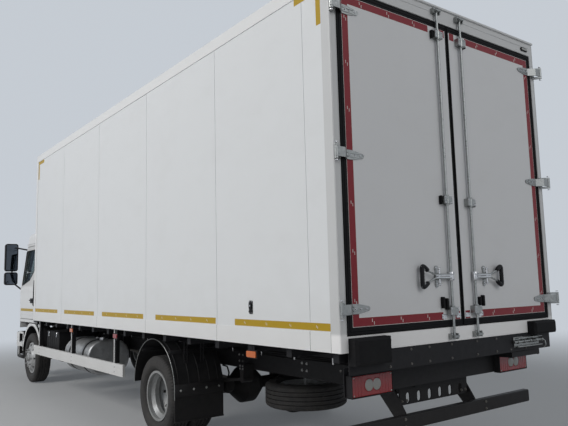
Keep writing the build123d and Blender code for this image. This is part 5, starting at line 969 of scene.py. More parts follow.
# %% Side markers, retainers and the parts of the side guard
for side, word in both_sides():
    base = Piece(f"{word}_marker_bases", moulded_black)
    red = Piece(f"{word}_red_markers", lens_red)
    orange = Piece(f"{word}_orange_markers", lens_amber)
    white = Piece(f"{word}_white_markers", lens_clear)
    markers = ((1.090, orange, 0.132), (3.960, red, 0.112), (5.560, orange, 0.112), (7.150, white, 0.112))
    for station, lens, wide in markers:
        x = x_at(station)
        base.box((x - 0.020, 1.200, 1.040), (x + 0.020, 1.262, 1.048), 0.002)
        base.box((x - 0.024, 1.254, 0.985), (x + 0.024, 1.262, 1.099), 0.002)
        base.plate(rounded(wide + 0.016, 0.066, 0.014), (x, 1.262, 1.018), 0.010, "out")
        lens.plate(rounded(wide, 0.050, 0.010), (x, 1.271, 1.018), 0.012, "out")
    base.done(soften=0.001)
    for lens in (red, orange, white):
        lens.done(soften=0.003)
    x = x_at(1.055)
    catch = Piece(f"{word}_door_retainer", moulded_black)
    catch.plate(rounded(0.052, 0.105, 0.012), (x, 1.2938, 1.390), 0.005, "out")
    catch.plate(rounded(0.034, 0.052, 0.012), (x, 1.2985, 1.402), 0.0085, "out")
    catch.box((x - 0.022, 1.2985, 1.348), (x + 0.022, 1.3065, 1.362), 0.003)
    catch.done(soften=0.0015)
    pins = Piece(f"{word}_retainer_pins", bright_steel)
    for at in each(near(x, 0.015), 1.2988, near(1.390, 0.043)):
        pins.rivet(at, OUT, 0.005)
    pins.turned((x, 1.3068, 1.402), OUT, [(0.008, 0), (0.008, 0.001), (0.005, 0.0012)], 14)
    pins.done()

    covers = Piece(f"{word}_guard_brackets", chassis_black)
    guard_bolts = Piece(f"{word}_guard_bolts", bright_steel)
    for x in (x_at(4.045), x_at(5.630), x_at(7.230)):
        covers.box((x - 0.0315, 1.1965, 0.6980), (x + 0.006, 1.2475, 1.0985), 0.002)
        covers.box((x - 0.060, 1.1965, 0.9600), (x - 0.028, 1.2420, 1.0985), 0.003)
        covers.box((x - 0.085, 1.1500, 1.0200), (x + 0.060, 1.2000, 1.0280), 0.002)
        for z in (0.985, 1.030, 1.075):
            guard_bolts.bolt((x - 0.044, 1.2420, z), OUT, 0.007, 0.006, 1.3)
        for z in (0.600, 0.655):
            guard_bolts.turned((x, 1.2497, z), OUT, [(0.009, 0), (0.008, 0.002), (0.004, 0.003)], 14)
    covers.done()
    guard_bolts.done()
    caps = Piece(f"{word}_guard_end_caps", guard_white)
    for low, high in ((3.790, 3.793), (7.547, 7.550)):
        caps.box((x_at(low), 1.2190, 0.5640), (x_at(high), 1.2460, 0.6920), 0.001)
    for z in (0.595, 0.628, 0.661):
        caps.box((x_at(3.795), 1.2490, z - 0.002), (x_at(7.545), 1.2512, z + 0.002), 0.0008)
    caps.done()
print("markers and guards done:", Piece.count, "pieces so far")

# %% [markdown]
# ## Under the body
#
# Below the floor a truck is mostly brackets, pipes and bolts. They are dark and small, yet they decide
# whether the space between the wheels looks empty. Pipes run along the frame in clipped bundles, hoses
# sag between fixed ends, and brake chambers sit on the axles.

# %% Mudguard edges, flap bolts and brackets
GUARD_Z, GUARD_EDGE = 0.524, 0.4975


def arc(x, y, z, radius, start, end, count):
    """Points along an arc in the XZ plane; angles in degrees from +X toward +Z."""
    angles = [math.radians(start + (end - start) * i / count) for i in range(count + 1)]
    return [(x + radius * math.cos(t), y, z + radius * math.sin(t)) for t in angles]


for side, word in both_sides():
    trim = Piece(f"{word}_mudguard_trim", galvanised)
    trim.tube(arc(REAR_X, 1.1655, GUARD_Z, GUARD_EDGE, 0, 180, 60), 0.0042)
    for x, low in ((REAR_X - GUARD_EDGE, 0.440), (REAR_X + GUARD_EDGE, 0.500)):
        trim.rod((x, 1.1655, GUARD_Z), (x, 1.1655, low), 0.0042, 8)
    trim.done(smooth=60)
    ribs = Piece(f"{word}_mudguard_ribs", moulded_black)
    for y in (0.660, 0.760, 0.880, 1.000, 1.120):
        ribs.tube(arc(REAR_X, y, GUARD_Z, 0.5000, 2, 178, 48), 0.0055, 6)
    for x in near(REAR_X, 0.330):
        ribs.box((x - 0.022, 0.620, 0.868), (x + 0.022, 1.150, 0.914), 0.006)
    ribs.box((REAR_X - 0.512, 0.598, 0.470), (REAR_X - 0.4995, 1.167, 0.590), 0.003)
    ribs.box((REAR_X - 0.505, 0.598, 0.216), (REAR_X - 0.500, 1.166, 0.232), 0.002)
    ribs.done(smooth=50)
    flap_bolts = Piece(f"{word}_flap_bolts", galvanised)
    for at in each(REAR_X - 0.512, spread(0.660, 0.148, 4), 0.530):
        flap_bolts.bolt(at, BACK, 0.0085, 0.007, 1.5)
    flap_bolts.done()
    arms = Piece(f"{word}_flap_brackets", chassis_black)
    for y in (0.840, 1.030):
        low, high = Vector((REAR_X - 0.440, y - 0.02, 0.800)), Vector((REAR_X - 0.540, y + 0.03, 1.029))
        for rail in (Vector((0, -0.017, 0)), Vector((0, 0.017, 0))):
            arms.tube([low + rail, high + rail], 0.0065, 6)
        for k in (0.0, 0.33, 0.66, 1.0):
            arms.block(low.lerp(high, k), (0.010, 0.040, 0.024), 0.002)
    arms.box((REAR_X - 0.560, 0.780, 1.0140), (REAR_X - 0.500, 1.120, 1.0290), 0.003)
    arms.done()

# %% Pipes, cables and their clips along the frame
PIPES = ((0.905, 0.4350, 0.0070), (0.888, 0.4340, 0.0055), (0.870, 0.4345, 0.0060))
SPRING_ENDS = near(REAR_X, 0.780) + near(FRONT_X, 0.750)
lines = Piece("frame_pipes", rubber_black)
clips = Piece("frame_pipe_clips", bright_steel)
frame_bolts = Piece("frame_rail_bolts", bolt_steel)
for side, word in both_sides():
    for k, (z, y, radius) in enumerate(PIPES):
        lines.tube([(
            -4.300 + i * 0.18, y + 0.002 * math.sin(i * 1.3 + k), z + 0.004 * math.sin(i * 0.9 + 2 * k)
        ) for i in range(44)], radius, 6)
    for x in spread(-4.200, 0.55, 14):
        clips.box((x - 0.010, 0.4252, 0.858), (x + 0.010, 0.4445, 0.918), 0.003)
    for s in (0.600, 1.480, 2.560, 3.720, 4.900, 6.100, 7.300):
        for at in each(near(x_at(s), 0.035), 0.4250, (0.770, 0.835)):
            frame_bolts.bolt(at, OUT, 0.0095, 0.008, 1.3)
    for x in SPRING_ENDS:
        for at in each(near(x, 0.025), 0.5463 if x < 0 else 0.5183, (0.716, 0.745)):
            frame_bolts.bolt(at, OUT, 0.008, 0.007, 1.3)
lines.done(smooth=60)
clips.done()
frame_bolts.done()
print("frame pipes done:", Piece.count, "pieces so far")

# %% Brake chambers, springs' clamps, hoses and the tank's fittings
BRAKE_Y, TANK_X = 0.420, x_at(5.350)
chambers = Piece("brake_chambers", chassis_black)
clamps = Piece("spring_clamps", cast_metal)
hoses = Piece("brake_hoses", rubber_black)
for side, word in both_sides():
    centre = (REAR_X - 0.185, BRAKE_Y, 0.470)
    chambers.turned(centre, (-1, 0, 0.10), [
        (0.060, -0.010), (0.074, 0.004), (0.078, 0.030), (0.083, 0.034), (0.083, 0.044), (0.078, 0.048),
        (0.076, 0.110), (0.083, 0.116), (0.083, 0.126), (0.076, 0.130), (0.060, 0.165), (0.020, 0.172),
    ], 28)
    chambers.rod((REAR_X - 0.010, BRAKE_Y, 0.455), centre, 0.011)
    chambers.box((REAR_X - 0.200, 0.395, 0.395), (REAR_X - 0.060, 0.445, 0.415), 0.004)
    chambers.box((REAR_X - 0.205, 0.390, 0.395), (REAR_X - 0.190, 0.450, 0.520), 0.004)
    path = ((-0.300, 0.420, 0.540), (-0.320, 0.415, 0.620), (-0.260, 0.400, 0.680), (-0.180, 0.410, 0.690))
    hoses.tube([(REAR_X + dx, y, z) for dx, y, z in path], 0.009)
    for axle_x, middle_y, seat in ((REAR_X, 0.500, 0.517), (FRONT_X, 0.472, 0.444)):
        for x, y, z in each(near(axle_x, 0.072), near(middle_y, 0.040), seat):
            clamps.rod((x, y, z - 0.060), (x, y, z + 0.090), 0.0085)
            clamps.bolt((x, y, z + 0.072), UP, 0.014, 0.016, 1.2)
        clamps.block((axle_x, middle_y, seat + 0.058), (0.190, 0.112, 0.024), 0.004)
chambers.done(smooth=45)
clamps.done()
hoses.done(smooth=60)

tank = Piece("fuel_tank_fittings", bright_steel)
tank.turned((TANK_X + 0.20, 0.830, 0.8580), UP, [
    (0.052, 0), (0.052, 0.012), (0.046, 0.016), (0.046, 0.034), (0.040, 0.038), (0.010, 0.039),
], 32)
for x in (x_at(5.5744), x_at(6.1456)):
    tank.box((x - 0.012, 1.1152, 0.560), (x + 0.012, 1.1250, 0.600), 0.003)
    tank.rod((x, 1.1210, 0.540), (x, 1.1210, 0.660), 0.006, 10)
    tank.bolt((x, 1.1210, 0.656), UP, 0.010, 0.012, 1.1)
tank.rod((TANK_X + 0.60, 0.760, 0.8590), (TANK_X + 0.60, 0.760, 0.8720), 0.030, 20, 0.002)
tank.done()
seams = Piece("fuel_tank_seams", tank_metal)
for x in (TANK_X + 0.024, TANK_X + 0.996):
    outline = rounded(0.5915, 0.4615, 0.2055, 10)
    seams.tube([(x, 0.815 + dy, 0.630 + dz) for dy, dz in outline], 0.0042, 6, closed=True)
seams.done(smooth=60)
fuel_hoses = Piece("fuel_hoses", rubber_black)
for dy, dx in ((0.0, 0.0), (0.020, 0.014)):
    fuel_hoses.tube([
        (TANK_X + 0.60 + dx, 0.760, 0.872), (TANK_X + 0.60 + dx, 0.740, 0.925),
        (TANK_X + 0.67 + dx, 0.640, 0.950 - dy), (TANK_X + 0.75 + dx, 0.500, 0.925 - dy),
        (TANK_X + 0.85 + dx, 0.436 + dy * 0.4, 0.915 - dy),
    ], 0.007)
fuel_hoses.done(smooth=60)

bands = Piece("air_tank_bands", bright_steel)
for start in (x_at(4.450), x_at(5.450)):
    for x in (start + 0.200, start + 0.600):
        for dx in (-0.012, 0.0, 0.012):
            bands.ring((x + dx, -0.900, 0.700), 0.1265, 0.0035)
    drain = [(0.014, 0), (0.014, 0.006), (0.009, 0.010), (0.009, 0.020), (0.004, 0.024)]
    bands.turned((start + 0.400, -0.900, 0.5760), (0, 0, -1), drain, 14)
bands.done(smooth=60)

lids = Piece("battery_box_lids", moulded_black)
catches = Piece("battery_box_catches", bright_steel)
low_x, high_x = x_at(6.620), x_at(7.240)
for side, word in both_sides():
    lids.box((low_x - 0.006, 0.580, 0.900), (high_x + 0.006, 1.127, 0.9365), 0.008, 2)
    for x in spread(low_x + 0.060, 0.100, 6):
        lids.box((x - 0.012, 1.119, 0.560), (x + 0.012, 1.1255, 0.870), 0.004)
    lids.box((low_x + 0.020, 1.119, 0.545), (high_x - 0.020, 1.1245, 0.560), 0.003)
    for x in (low_x + 0.110, high_x - 0.110):
        catches.box((x - 0.016, 1.124, 0.850), (x + 0.016, 1.1330, 0.925), 0.003)
        catches.rod((x - 0.022, 1.1330, 0.862), (x + 0.022, 1.1330, 0.862), 0.005, 10)
lids.done()
catches.done()
print("under-body fittings done:", Piece.count, "pieces so far")

# %% [markdown]
# ## Cab: fenders, steps and doors
#
# From behind, the cab shows its white fender over the front wheel, the door handle and the window seal.
# The fender skin is a band between two arcs: the inner one is the wheel arch, the outer one stops just
# below the cab, so the cab can tilt. Panels of that kind are drawn as an outline and given a thickness.

# %% Fender skins, step frames and treads
SKIN_Y, ARCH, FENDER, FENDER_TOP = 1.0855, 0.5465, 0.612, 0.588
STEP_FRAME = (
    (4.441, 4.484, 0.400, 0.842), (4.180, 4.441, 0.803, 0.842), (4.176, 4.441, 0.573, 0.647),
    (4.164, 4.198, 0.573, 0.842), (4.150, 4.198, 0.520, 0.580),
)
skins = Piece("front_fender_skins", cab_white)
lips = Piece("front_arch_lips", moulded_black)
treads = Piece("step_treads", bright_steel)
angles = [math.radians(a) for a in range(8, 173, 4)]
band = [(FENDER * math.cos(t), min(FENDER * math.sin(t), FENDER_TOP)) for t in angles]
band += [(ARCH * math.cos(t), ARCH * math.sin(t)) for t in reversed(angles)]
for side, word in both_sides():
    skins.plate(band, (FRONT_X, SKIN_Y, AXLE_Z), 0.006, "out")
    for x0, x1, z0, z1 in STEP_FRAME:
        skins.box((x0, SKIN_Y, z0), (x1, SKIN_Y + 0.006, z1), 0.002)
    lips.tube(arc(FRONT_X, 1.0925, AXLE_Z, 0.5460, 6, 174, 56), 0.0055)
    lips.box((4.176, SKIN_Y, 0.362), (4.484, SKIN_Y + 0.006, 0.4185), 0.003)
    for z in (0.420, 0.650):
        treads.box((4.203, 0.940, z), (4.437, 1.082, z + 0.005), 0.0015)
        for x in spread(4.212, 0.026, 9):
            treads.box((x, 0.945, z + 0.004), (x + 0.008, 1.078, z + 0.0095), 0.002)
skins.done()
lips.done(smooth=60)
treads.done()

# %% [markdown]
# ## Door furniture
#
# Handles, seals and trim ride on the door so that they swing with it. The cab side leans inward above
# the waist; the helper below gives the y of the skin at any height, so the window seal lies on the glass.

# %% Handles, window seals and side trim
CAB_SIDE, WAIST, SCREEN_RISE = 1.070, 1.620, 0.820
GLASS = ((4.435, 1.682), (4.285, 2.315), (3.680, 2.315), (3.665, 1.945), (3.920, 1.780))
DOOR_TRIM = (
    (3.620, 4.470, 1.0145, 1.0030, 1.120, 1.560, 0.006, 1),
    (3.700, 4.250, 1.0030, 0.9700, 1.420, 1.470, 0.012, 2),
    (3.800, 4.350, 1.0030, 0.9750, 1.160, 1.290, 0.012, 2),
)
HANDLE = ((3.660, 1.074), (3.668, 1.092), (3.735, 1.096), (3.802, 1.092), (3.810, 1.074))


def cab_y(z):
    """Half width of the cab's outer skin at a height."""
    return CAB_SIDE - max(0.0, z - WAIST) * 0.045 / SCREEN_RISE


def softened(points, radius, steps):
    """A closed outline with its corners rounded."""
    made = []
    for i, point in enumerate(points):
        corner = Vector(point)
        a, b = (Vector(other) - corner for other in (points[i - 1], points[(i + 1) % len(points)]))
        reach = min(radius, a.length / 2, b.length / 2)
        made += curve(corner + a.normalized() * reach, corner, corner + b.normalized() * reach, steps)
    return made


for side, word in both_sides():
    body = f"{word}_cab_door"
    seal = Piece(f"{word}_window_seal", rubber_black, body)
    seal.tube([(x, cab_y(z) - 0.0025, z) for x, z in softened(GLASS, 0.035, 5)], 0.0095, closed=True)
    seal.box((3.700, cab_y(1.9) - 0.021, 1.955), (3.712, cab_y(2.3) - 0.005, 2.310), 0.002)
    seal.done(smooth=60)
    grab = Piece(f"{word}_door_handle", moulded_black, body)
    grab.plate(rounded(0.190, 0.086, 0.020, 5), (3.735, CAB_SIDE, 1.405), 0.006, "out")
    grab.tube([(x, y, 1.412) for x, y in HANDLE], 0.0095, 10)
    grab.turned((3.668, 1.0755, 1.378), OUT, [(0.012, 0), (0.012, 0.003), (0.008, 0.004)], 18)
    grab.done(smooth=45)
    trim = Piece(f"{word}_door_trim", moulded_black, body)
    for x0, x1, y0, y1, z0, z1, soften, steps in DOOR_TRIM:
        trim.box((x0, y0, z0), (x1, y1, z1), soften, steps)
    trim.tube([(3.960, 0.985, 1.545), (4.100, 0.975, 1.548), (4.240, 0.985, 1.545)], 0.008)
    trim.done()
    strip = Piece(f"{word}_cab_tape", tape_yellow, body)
    strip.box((3.640, CAB_SIDE - 0.0005, 1.215), (4.480, CAB_SIDE + 0.0005, 1.262))
    strip.done()
    crease = Piece(f"{word}_door_crease", cab_white, body)
    for end, z0, z1 in ((4.500, 1.148, 1.160), (4.520, 1.560, 1.570)):
        crease.box((3.615, CAB_SIDE - 0.002, z0), (end, CAB_SIDE + 0.0035, z1), 0.003, 2)
    crease.done()
print("doors of the cab done:", Piece.count, "pieces so far")

# %% Things on the cab's shell
ROOF_Y = cab_y(2.44)
shell_trim = Piece("cab_roof_and_corner_trim", cab_white, "cab")
shell_black = Piece("cab_black_trim", moulded_black, "cab")
shell_steel = Piece("cab_fixings", bright_steel, "cab")
for side, word in both_sides():
    shell_trim.box((3.000, ROOF_Y - 0.010, 2.436), (4.280, ROOF_Y + 0.010, 2.450), 0.004, 2)
    shell_black.box((2.905, CAB_SIDE - 0.002, 1.030), (3.560, CAB_SIDE + 0.004, 1.062), 0.002)
    rail = ((1.35, 0.001, 1.300), (1.35, 0.032, 1.330), (1.8, 0.032, 1.760), (1.8, 0.001, 1.790))
    shell_black.tube([(3.520, cab_y(level) + dy, z) for level, dy, z in rail], 0.010, 10)
    shell_black.plate(rounded(0.320, 0.520, 0.030, 5), (3.200, cab_y(1.9) - 0.0005, 1.430), 0.004, "out")
    for z in spread(1.215, 0.052, 9):
        shell_black.box((3.065, CAB_SIDE + 0.001, z), (3.335, CAB_SIDE + 0.010, z + 0.016), 0.003)
    for z in (1.10, 1.55, 2.35):
        shell_steel.rivet((2.935, cab_y(z), z), OUT)
shell_black.box((2.888, -0.900, 1.100), (2.8915, 0.900, 1.125), 0.001)
for y in spread(-0.780, 0.260, 7):
    shell_trim.box((2.8850, y - 0.020, 1.180), (2.8950, y + 0.020, 2.380), 0.004, 2)
shell_black.plate(rounded(0.620, 0.360, 0.050, 6), (2.8895, 0.0, 2.100), 0.004, "back")
shell_trim.done()
shell_black.done(smooth=45)
shell_steel.done()

# %% [markdown]
# ## Front of the cab
#
# The front has wipers on the screen, a visor above it, bars in the grille, a frame round each headlamp
# with two bowls behind the lens, and a lower grille in the bumper. The front is bowed, so pieces that
# lie on it follow the same arc: `nose` gives its x at any y, and `bowed` draws a bar along it.

# %% Wipers, visor, grille bars and lamps
def nose(y, z=0.0, front=4.750, half=1.070, bulge=0.055):
    """The x of the cab's bowed front at a y."""
    radius = (half ** 2 + bulge ** 2) / (2 * bulge)
    return front - radius + math.sqrt(max(radius ** 2 - y ** 2, 0.0))


def bumper(y, z=0.0):
    """The x of the bumper's bowed front at a y."""
    return nose(y, z, 4.790, 1.085)


def screen(y, z):
    """The x of the raked windscreen's outer face."""
    return nose(y) - 0.012 - (z - WAIST) * 0.290 / SCREEN_RISE


def bowed(piece, surface, ys, section):
    """A bar across the cab that follows a surface; its section is pairs of dx and z."""
    piece.skin([[(surface(y, z) + dx, y, z) for dx, z in section] for y in ys])


def even(points, step):
    """The closed outline with extra points, none further apart than step."""
    made = []
    for p, q in zip(points, points[1:] + points[:1]):
        parts = max(1, math.ceil(math.dist(p, q) / step))
        made += [(p[0] + (q[0] - p[0]) * k / parts, p[1] + (q[1] - p[1]) * k / parts) for k in range(parts)]
    return made


VISOR_Z = 2.445
VISOR = (
    (-0.010, 2.452), (0.012, 2.440), (0.022, 2.425), (0.026, 2.426), (0.020, 2.446), (-0.006, 2.470),
)
BAR = ((-0.016, -0.006), (-0.006, -0.007), (-0.002, 0.0), (-0.006, 0.007), (-0.016, 0.006))
LOW_BAR = ((-0.030, -0.004), (-0.012, -0.005), (-0.009, 0.0), (-0.012, 0.005), (-0.030, 0.004))
GRIP = ((0.0, -0.090), (0.022, -0.078), (0.028, 0.0), (0.018, 0.078), (-0.006, 0.090))
LAMP_FRONT_Y, LAMP_FRONT_Z = 0.800, 0.705
black = Piece("cab_front_trim", moulded_black, "cab")
visor = Piece("cab_front_visor", cab_white, "cab")
wipers = Piece("wipers", moulded_black, "cab")
ledge = ((0.002, 1.635), (0.009, 1.635), (0.009, 1.655), (0.002, 1.655))
bowed(black, screen, spread(-0.86, 0.086, 21), ledge)
bowed(visor, lambda y, z: screen(y, VISOR_Z), spread(-0.885, 0.07375, 25), VISOR)
rim = [(y, 1.672) for y in spread(-0.905, 0.0905, 21)]
rim += [(0.905 - k * 0.0150, 1.70 + k * 0.175) for k in range(1, 4)]
rim += [(y, 2.418) for y in spread(0.850, -0.085, 21)]
rim += [(-0.860 - k * 0.0150, 2.225 - k * 0.175) for k in range(3)]
black.tube([(screen(y, z) + 0.0015, y, z) for y, z in rim], 0.008, closed=True)
for y, reach in ((0.62, 0.60), (0.00, 0.60), (-0.58, 0.52)):
    root = Vector((screen(y, 1.650) + 0.016, y, 1.645))
    elbow = Vector((screen(y - reach * 0.5, 1.735) + 0.018, y - reach * 0.5, 1.735))
    wipers.turned(root - Vector((0.012, 0, 0)), (1, 0, 0.3), [(0.020, 0), (0.020, 0.014), (0.012, 0.020)], 16)
    wipers.tube([root, (root + elbow) / 2 + Vector((0.006, 0, 0.006)), elbow], 0.006)
    blade = [(y - reach * t, 1.690 + 0.09 * t) for t in (0.05, 0.25, 0.5, 0.75, 0.95)]
    for radius, dx, dz in ((0.0055, 0.0105, 0.0), (0.0035, 0.0055, -0.006)):
        wipers.tube([(screen(v, z) + dx, v, z + dz) for v, z in blade], radius, 6)
wipers.done(smooth=60)
for z in spread(1.0258, 0.0596, 5):
    bowed(black, nose, spread(-0.590, 0.059, 21), [(dx, z + dz) for dx, dz in BAR])
for y in spread(-0.550, 0.100, 12):
    black.box((nose(y) - 0.018, y - 0.004, 0.998), (nose(y) - 0.007, y + 0.004, 1.292), 0.001)
for z, outline in ((1.470, rounded(1.960, 0.252, 0.040, 5)), (1.146, rounded(1.400, 0.420, 0.050, 5))):
    black.tube([(nose(y) + 0.0002, y, z + dz) for y, dz in even(outline, 0.05)], 0.0022, 6, closed=True)
for side, word in both_sides():
    black.tube([(nose(0.72) + dx, 0.72 + dy, 1.478) for dx, dy in GRIP], 0.0085)
black.done(smooth=50)
visor.done(smooth=50)

bowls = Piece("headlamp_bowls", bright_steel, slot="clear_lens")
lamp_trim = Piece("headlamp_trim", moulded_black)
indicators = Piece("turn_signals", lens_amber, slot="clear_lens")
cheeks = Piece("bumper_upper_skin", cab_white)
for side, word in both_sides():
    for y in (0.705, 0.850):
        x = bumper(y) - 0.0015
        bowls.turned((x, y, LAMP_FRONT_Z), AHEAD, [
            (0.056, 0), (0.056, 0.003), (0.04816, 0.004), (0.0448, 0.0015),
            (0.0224, 0.0012), (0.01904, 0.004), (0.0, 0.005),
        ], 36)
        lamp_trim.ring((x + 0.0035, y, LAMP_FRONT_Z), 0.060, 0.0035, 36, u=(0, side, 0))
    edge = []
    for dy, dz in rounded(0.404, 0.174, 0.032, 5):
        y = LAMP_FRONT_Y + side * dy
        bend = max(0.0, (y - 0.9) / 0.1) ** 2 * 0.022
        edge.append((bumper(y) - bend + 0.0005, y, LAMP_FRONT_Z + dz))
    lamp_trim.tube(edge, 0.0045, 6, closed=True)
    for z in (0.660, 0.705, 0.750):
        indicators.box((4.500, 1.083, z - 0.018), (4.640, 1.0875, z + 0.018), 0.002)
    cheeks.box((4.492, 1.0845, 0.560), (4.640, 1.0880, 0.822), 0.0015)
bowls.done(smooth=50)
lamp_trim.done(smooth=60)
indicators.done()
cheeks.done()

lower = Piece("bumper_lower_grille", moulded_black)
for z in spread(0.4825, 0.025, 4):
    bowed(lower, bumper, spread(-0.452, 0.0565, 17), [(dx, z + dz) for dx, dz in LOW_BAR])
for y in spread(-0.30, 0.15, 5):
    lower.box((bumper(y) - 0.034, y - 0.004, 0.466), (bumper(y) - 0.014, y + 0.004, 0.574), 0.001)
backing = ((-0.037, 0.464), (-0.034, 0.464), (-0.034, 0.576), (-0.037, 0.576))
bowed(lower, bumper, spread(-0.455, 0.056875, 17), backing)
lower.done(smooth=45)
front_holder = Piece("front_plate_holder", moulded_black)
front_holder.plate(rounded(0.540, 0.124, 0.012), (4.7883, 0.0, 0.640), 0.0015)
front_holder.done()
print("front of the cab done:", Piece.count, "pieces so far")

# %% [markdown]
# ## Mirrors and cab interior
#
# Mirror glass is a thin metal slab set in the rear of each housing; its dark bluish colour is a painted
# reflection of dark surroundings. Inside, the dashboard gets its binnacle, vents and knobs, and the steering
# wheel a grip, a hub and a spoke. Little of this is seen in the photograph, but it shows through the side
# glass and once a door opens.

# %% Mirror glass, dashboard and steering wheel
MIRROR_X, MIRROR_Y = 4.575, 1.235
glasses = Piece("mirror_glasses", mirror_glass_painted_reflection, "cab")
mirror_trim = Piece("mirror_trim", moulded_black, "cab")
for side, word in both_sides():
    for z, height in ((1.8208, 0.2416), (2.2188, 0.5224)):
        glass = rounded(0.190, height - 0.040, 0.026, 5)
        glasses.plate(glass, (MIRROR_X - 0.0015, MIRROR_Y, z), 0.002, "back")
        edge = rounded(0.200, height - 0.030, 0.030, 6)
        mirror_trim.tube([
            (MIRROR_X - 0.001, MIRROR_Y + side * dy, z + dz) for dy, dz in edge
        ], 0.0045, 6, closed=True)
    for z in (1.800, 2.100, 2.340):
        mirror_trim.box((MIRROR_X + 0.020, 1.200, z - 0.022), (MIRROR_X + 0.070, 1.228, z + 0.022), 0.006, 2)
glasses.done()
mirror_trim.done(smooth=60)

dash = Piece("dashboard_details", moulded_black, "cab")
dials = Piece("dashboard_dials", lens_clear, "cab")
dash.box((4.130, 0.400, 1.575), (4.300, 0.830, 1.655), 0.018, 3)
for y in (0.530, 0.690):
    dials.turned((4.1295, y, 1.615), BACK, [(0.034, -0.004), (0.034, 0.001), (0.031, 0.0015)], 28)
for x, y, z in each(4.151, (-0.820, -0.620, 0.340, 0.860), spread(1.505, 0.016, 4)):
    dash.box((x - 0.005, y - 0.055, z), (x + 0.005, y + 0.055, z + 0.007), 0.002)
dash.box((4.150, -0.440, 1.420), (4.200, 0.120, 1.560), 0.012, 2)
for y in spread(-0.28, 0.12, 3):
    dash.turned((4.149, y, 1.450), BACK, [(0.019, 0), (0.018, 0.012), (0.014, 0.015)], 20)
WHEEL_AXIS = (-0.5, 0, 0.87)
centre = Vector((4.088, 0.610, 1.660))
spin = across(WHEEL_AXIS)
for t in turns(24):
    dash.tube([
        centre + spin @ Vector((0.215 * math.cos(a), 0.215 * math.sin(a), 0)) for a in (t, t + 0.02)
    ], 0.0162, 10)
hub = [(0.056, 0), (0.052, 0.012), (0.030, 0.018), (0.0, 0.020)]
dash.turned(centre + spin @ Vector((0, 0, 0.006)), WHEEL_AXIS, hub, 28)
for dy in (-0.17, 0.17):
    dash.tube([centre + spin @ Vector(p) for p in ((0, 0, -0.055), (0, dy, -0.050))], 0.007)
dash.turned((4.020, 0.300, 1.385), UP, [
    (0.045, 0.001), (0.040, 0.020), (0.012, 0.030), (0.011, 0.200),
    (0.024, 0.215), (0.026, 0.245), (0.016, 0.262),
], 24)
dash.done()
dials.done()
print("mirrors and interior done:", Piece.count, "pieces so far")

# %% [markdown]
# ## Cooling unit and load space
#
# The unit on the front wall blows through round grilles, which are rings and spokes over a dark disc.
# Pipes leave its underside toward the engine. Inside the box, the evaporator has two fans, and the
# floor has raised ribs so that cold air can pass under the load.

# %% Fans, pipes and lids of the cooling unit
UNIT_FRONT, UNIT_Z = 3.200, 3.440
fans = Piece("unit_fan_guards", moulded_black)
lids = Piece("unit_lids", unit_white)
unit_bolts = Piece("unit_fixings", bright_steel)
for y in (-0.450, 0.450):
    middle = Vector((UNIT_FRONT - 0.0005, y, UNIT_Z))
    for radius in spread(0.245, -0.045, 5):
        fans.ring(middle, radius, 0.0042)
    for t in turns(8, 0.5):
        ray = Vector((0, 0.245 * math.cos(t), 0.245 * math.sin(t)))
        lifted = middle + Vector((0.004, 0, 0))
        fans.tube([lifted + ray, lifted - ray], 0.0030, 6)
    fans.turned(middle, AHEAD, [(0.045, 0.0), (0.045, 0.006), (0.036, 0.010)], 24)
for side, word in both_sides():
    lids.plate(rounded(0.400, 0.560, 0.040, 5), (2.955, 0.9495, UNIT_Z), 0.004, "out")
    for at in each(near(2.955, 0.17), 0.9535, near(UNIT_Z, 0.24)):
        unit_bolts.bolt(at, OUT, 0.007, 0.005, 1.5)
    for z in spread(3.300, 0.034, 8):
        fans.box((2.830, 0.9530, z), (3.060, 0.9575, z + 0.014), 0.002)
for y in (-0.88, -0.44, 0.0, 0.44, 0.88):
    x = UNIT_FRONT - 0.0002 - (0.012 if abs(y) > 0.8 else 0)
    for z in (3.150, 3.730):
        unit_bolts.bolt((x, y * 0.96, z), AHEAD, 0.007, 0.005, 1.5)
lids.box((2.730, -0.820, 3.7695), (3.120, 0.820, 3.7740), 0.002)
fans.done(smooth=50)
lids.done()
unit_bolts.done()

pipes = Piece("unit_pipes", rubber_black)
for k, (y, radius) in enumerate(((0.300, 0.017), (0.345, 0.013), (0.385, 0.010))):
    pipes.tube([
        (2.800, y, 3.140), (2.790, y, 3.060), (2.760, y + 0.02 * k, 2.940), (2.748, y + 0.01 * k, 2.400),
        (2.744, y, 1.700), (2.744, y, 1.180), (2.760, y - 0.02, 1.040), (2.800, y - 0.05, 0.985),
    ], radius, 10)
pipes.done(smooth=60)
pipe_clips = Piece("unit_pipe_clips", bright_steel)
for z in (1.30, 1.70, 2.10, 2.50, 2.85):
    pipe_clips.box((2.7095, 0.270, z - 0.012), (2.7140, 0.430, z + 0.012), 0.001)
    for y in (0.275, 0.425):
        pipe_clips.bolt((2.7140, y, z), AHEAD, 0.006, 0.005, 1.3)
pipe_clips.done()

# %% Load floor, kick rails and evaporator
HOLD = (-4.610, 2.610)
floor_ribs = Piece("load_floor_ribs", tank_metal, slot="rail_metal")
for y in spread(-1.150, 0.050, 47):
    floor_ribs.box((HOLD[0], y - 0.008, 1.2195), (HOLD[1], y + 0.008, 1.2320), 0.003)
for side, word in both_sides():
    floor_ribs.box((HOLD[0], 1.2085, 1.2200), (HOLD[1], 1.2205, 1.4300), 0.002)
floor_ribs.done()
evaporator = Piece("evaporator_fans", moulded_black)
spots = Piece("load_space_lamps", lens_clear)
blow = Vector((-0.55, 0, -0.83)).normalized()
rise = Vector((0, 1, 0)).cross(blow)
for y in (-0.420, 0.420):
    middle = Vector((2.325, y, 3.452))
    for radius in spread(0.100, -0.025, 4):
        evaporator.ring(middle, radius, 0.003, 28, v=rise)
    for t in turns(6, 0.5):
        ray = Vector((0, 0.100 * math.cos(t), 0)) + rise * (0.100 * math.sin(t))
        evaporator.tube([middle + ray, middle - ray], 0.0025, 6)
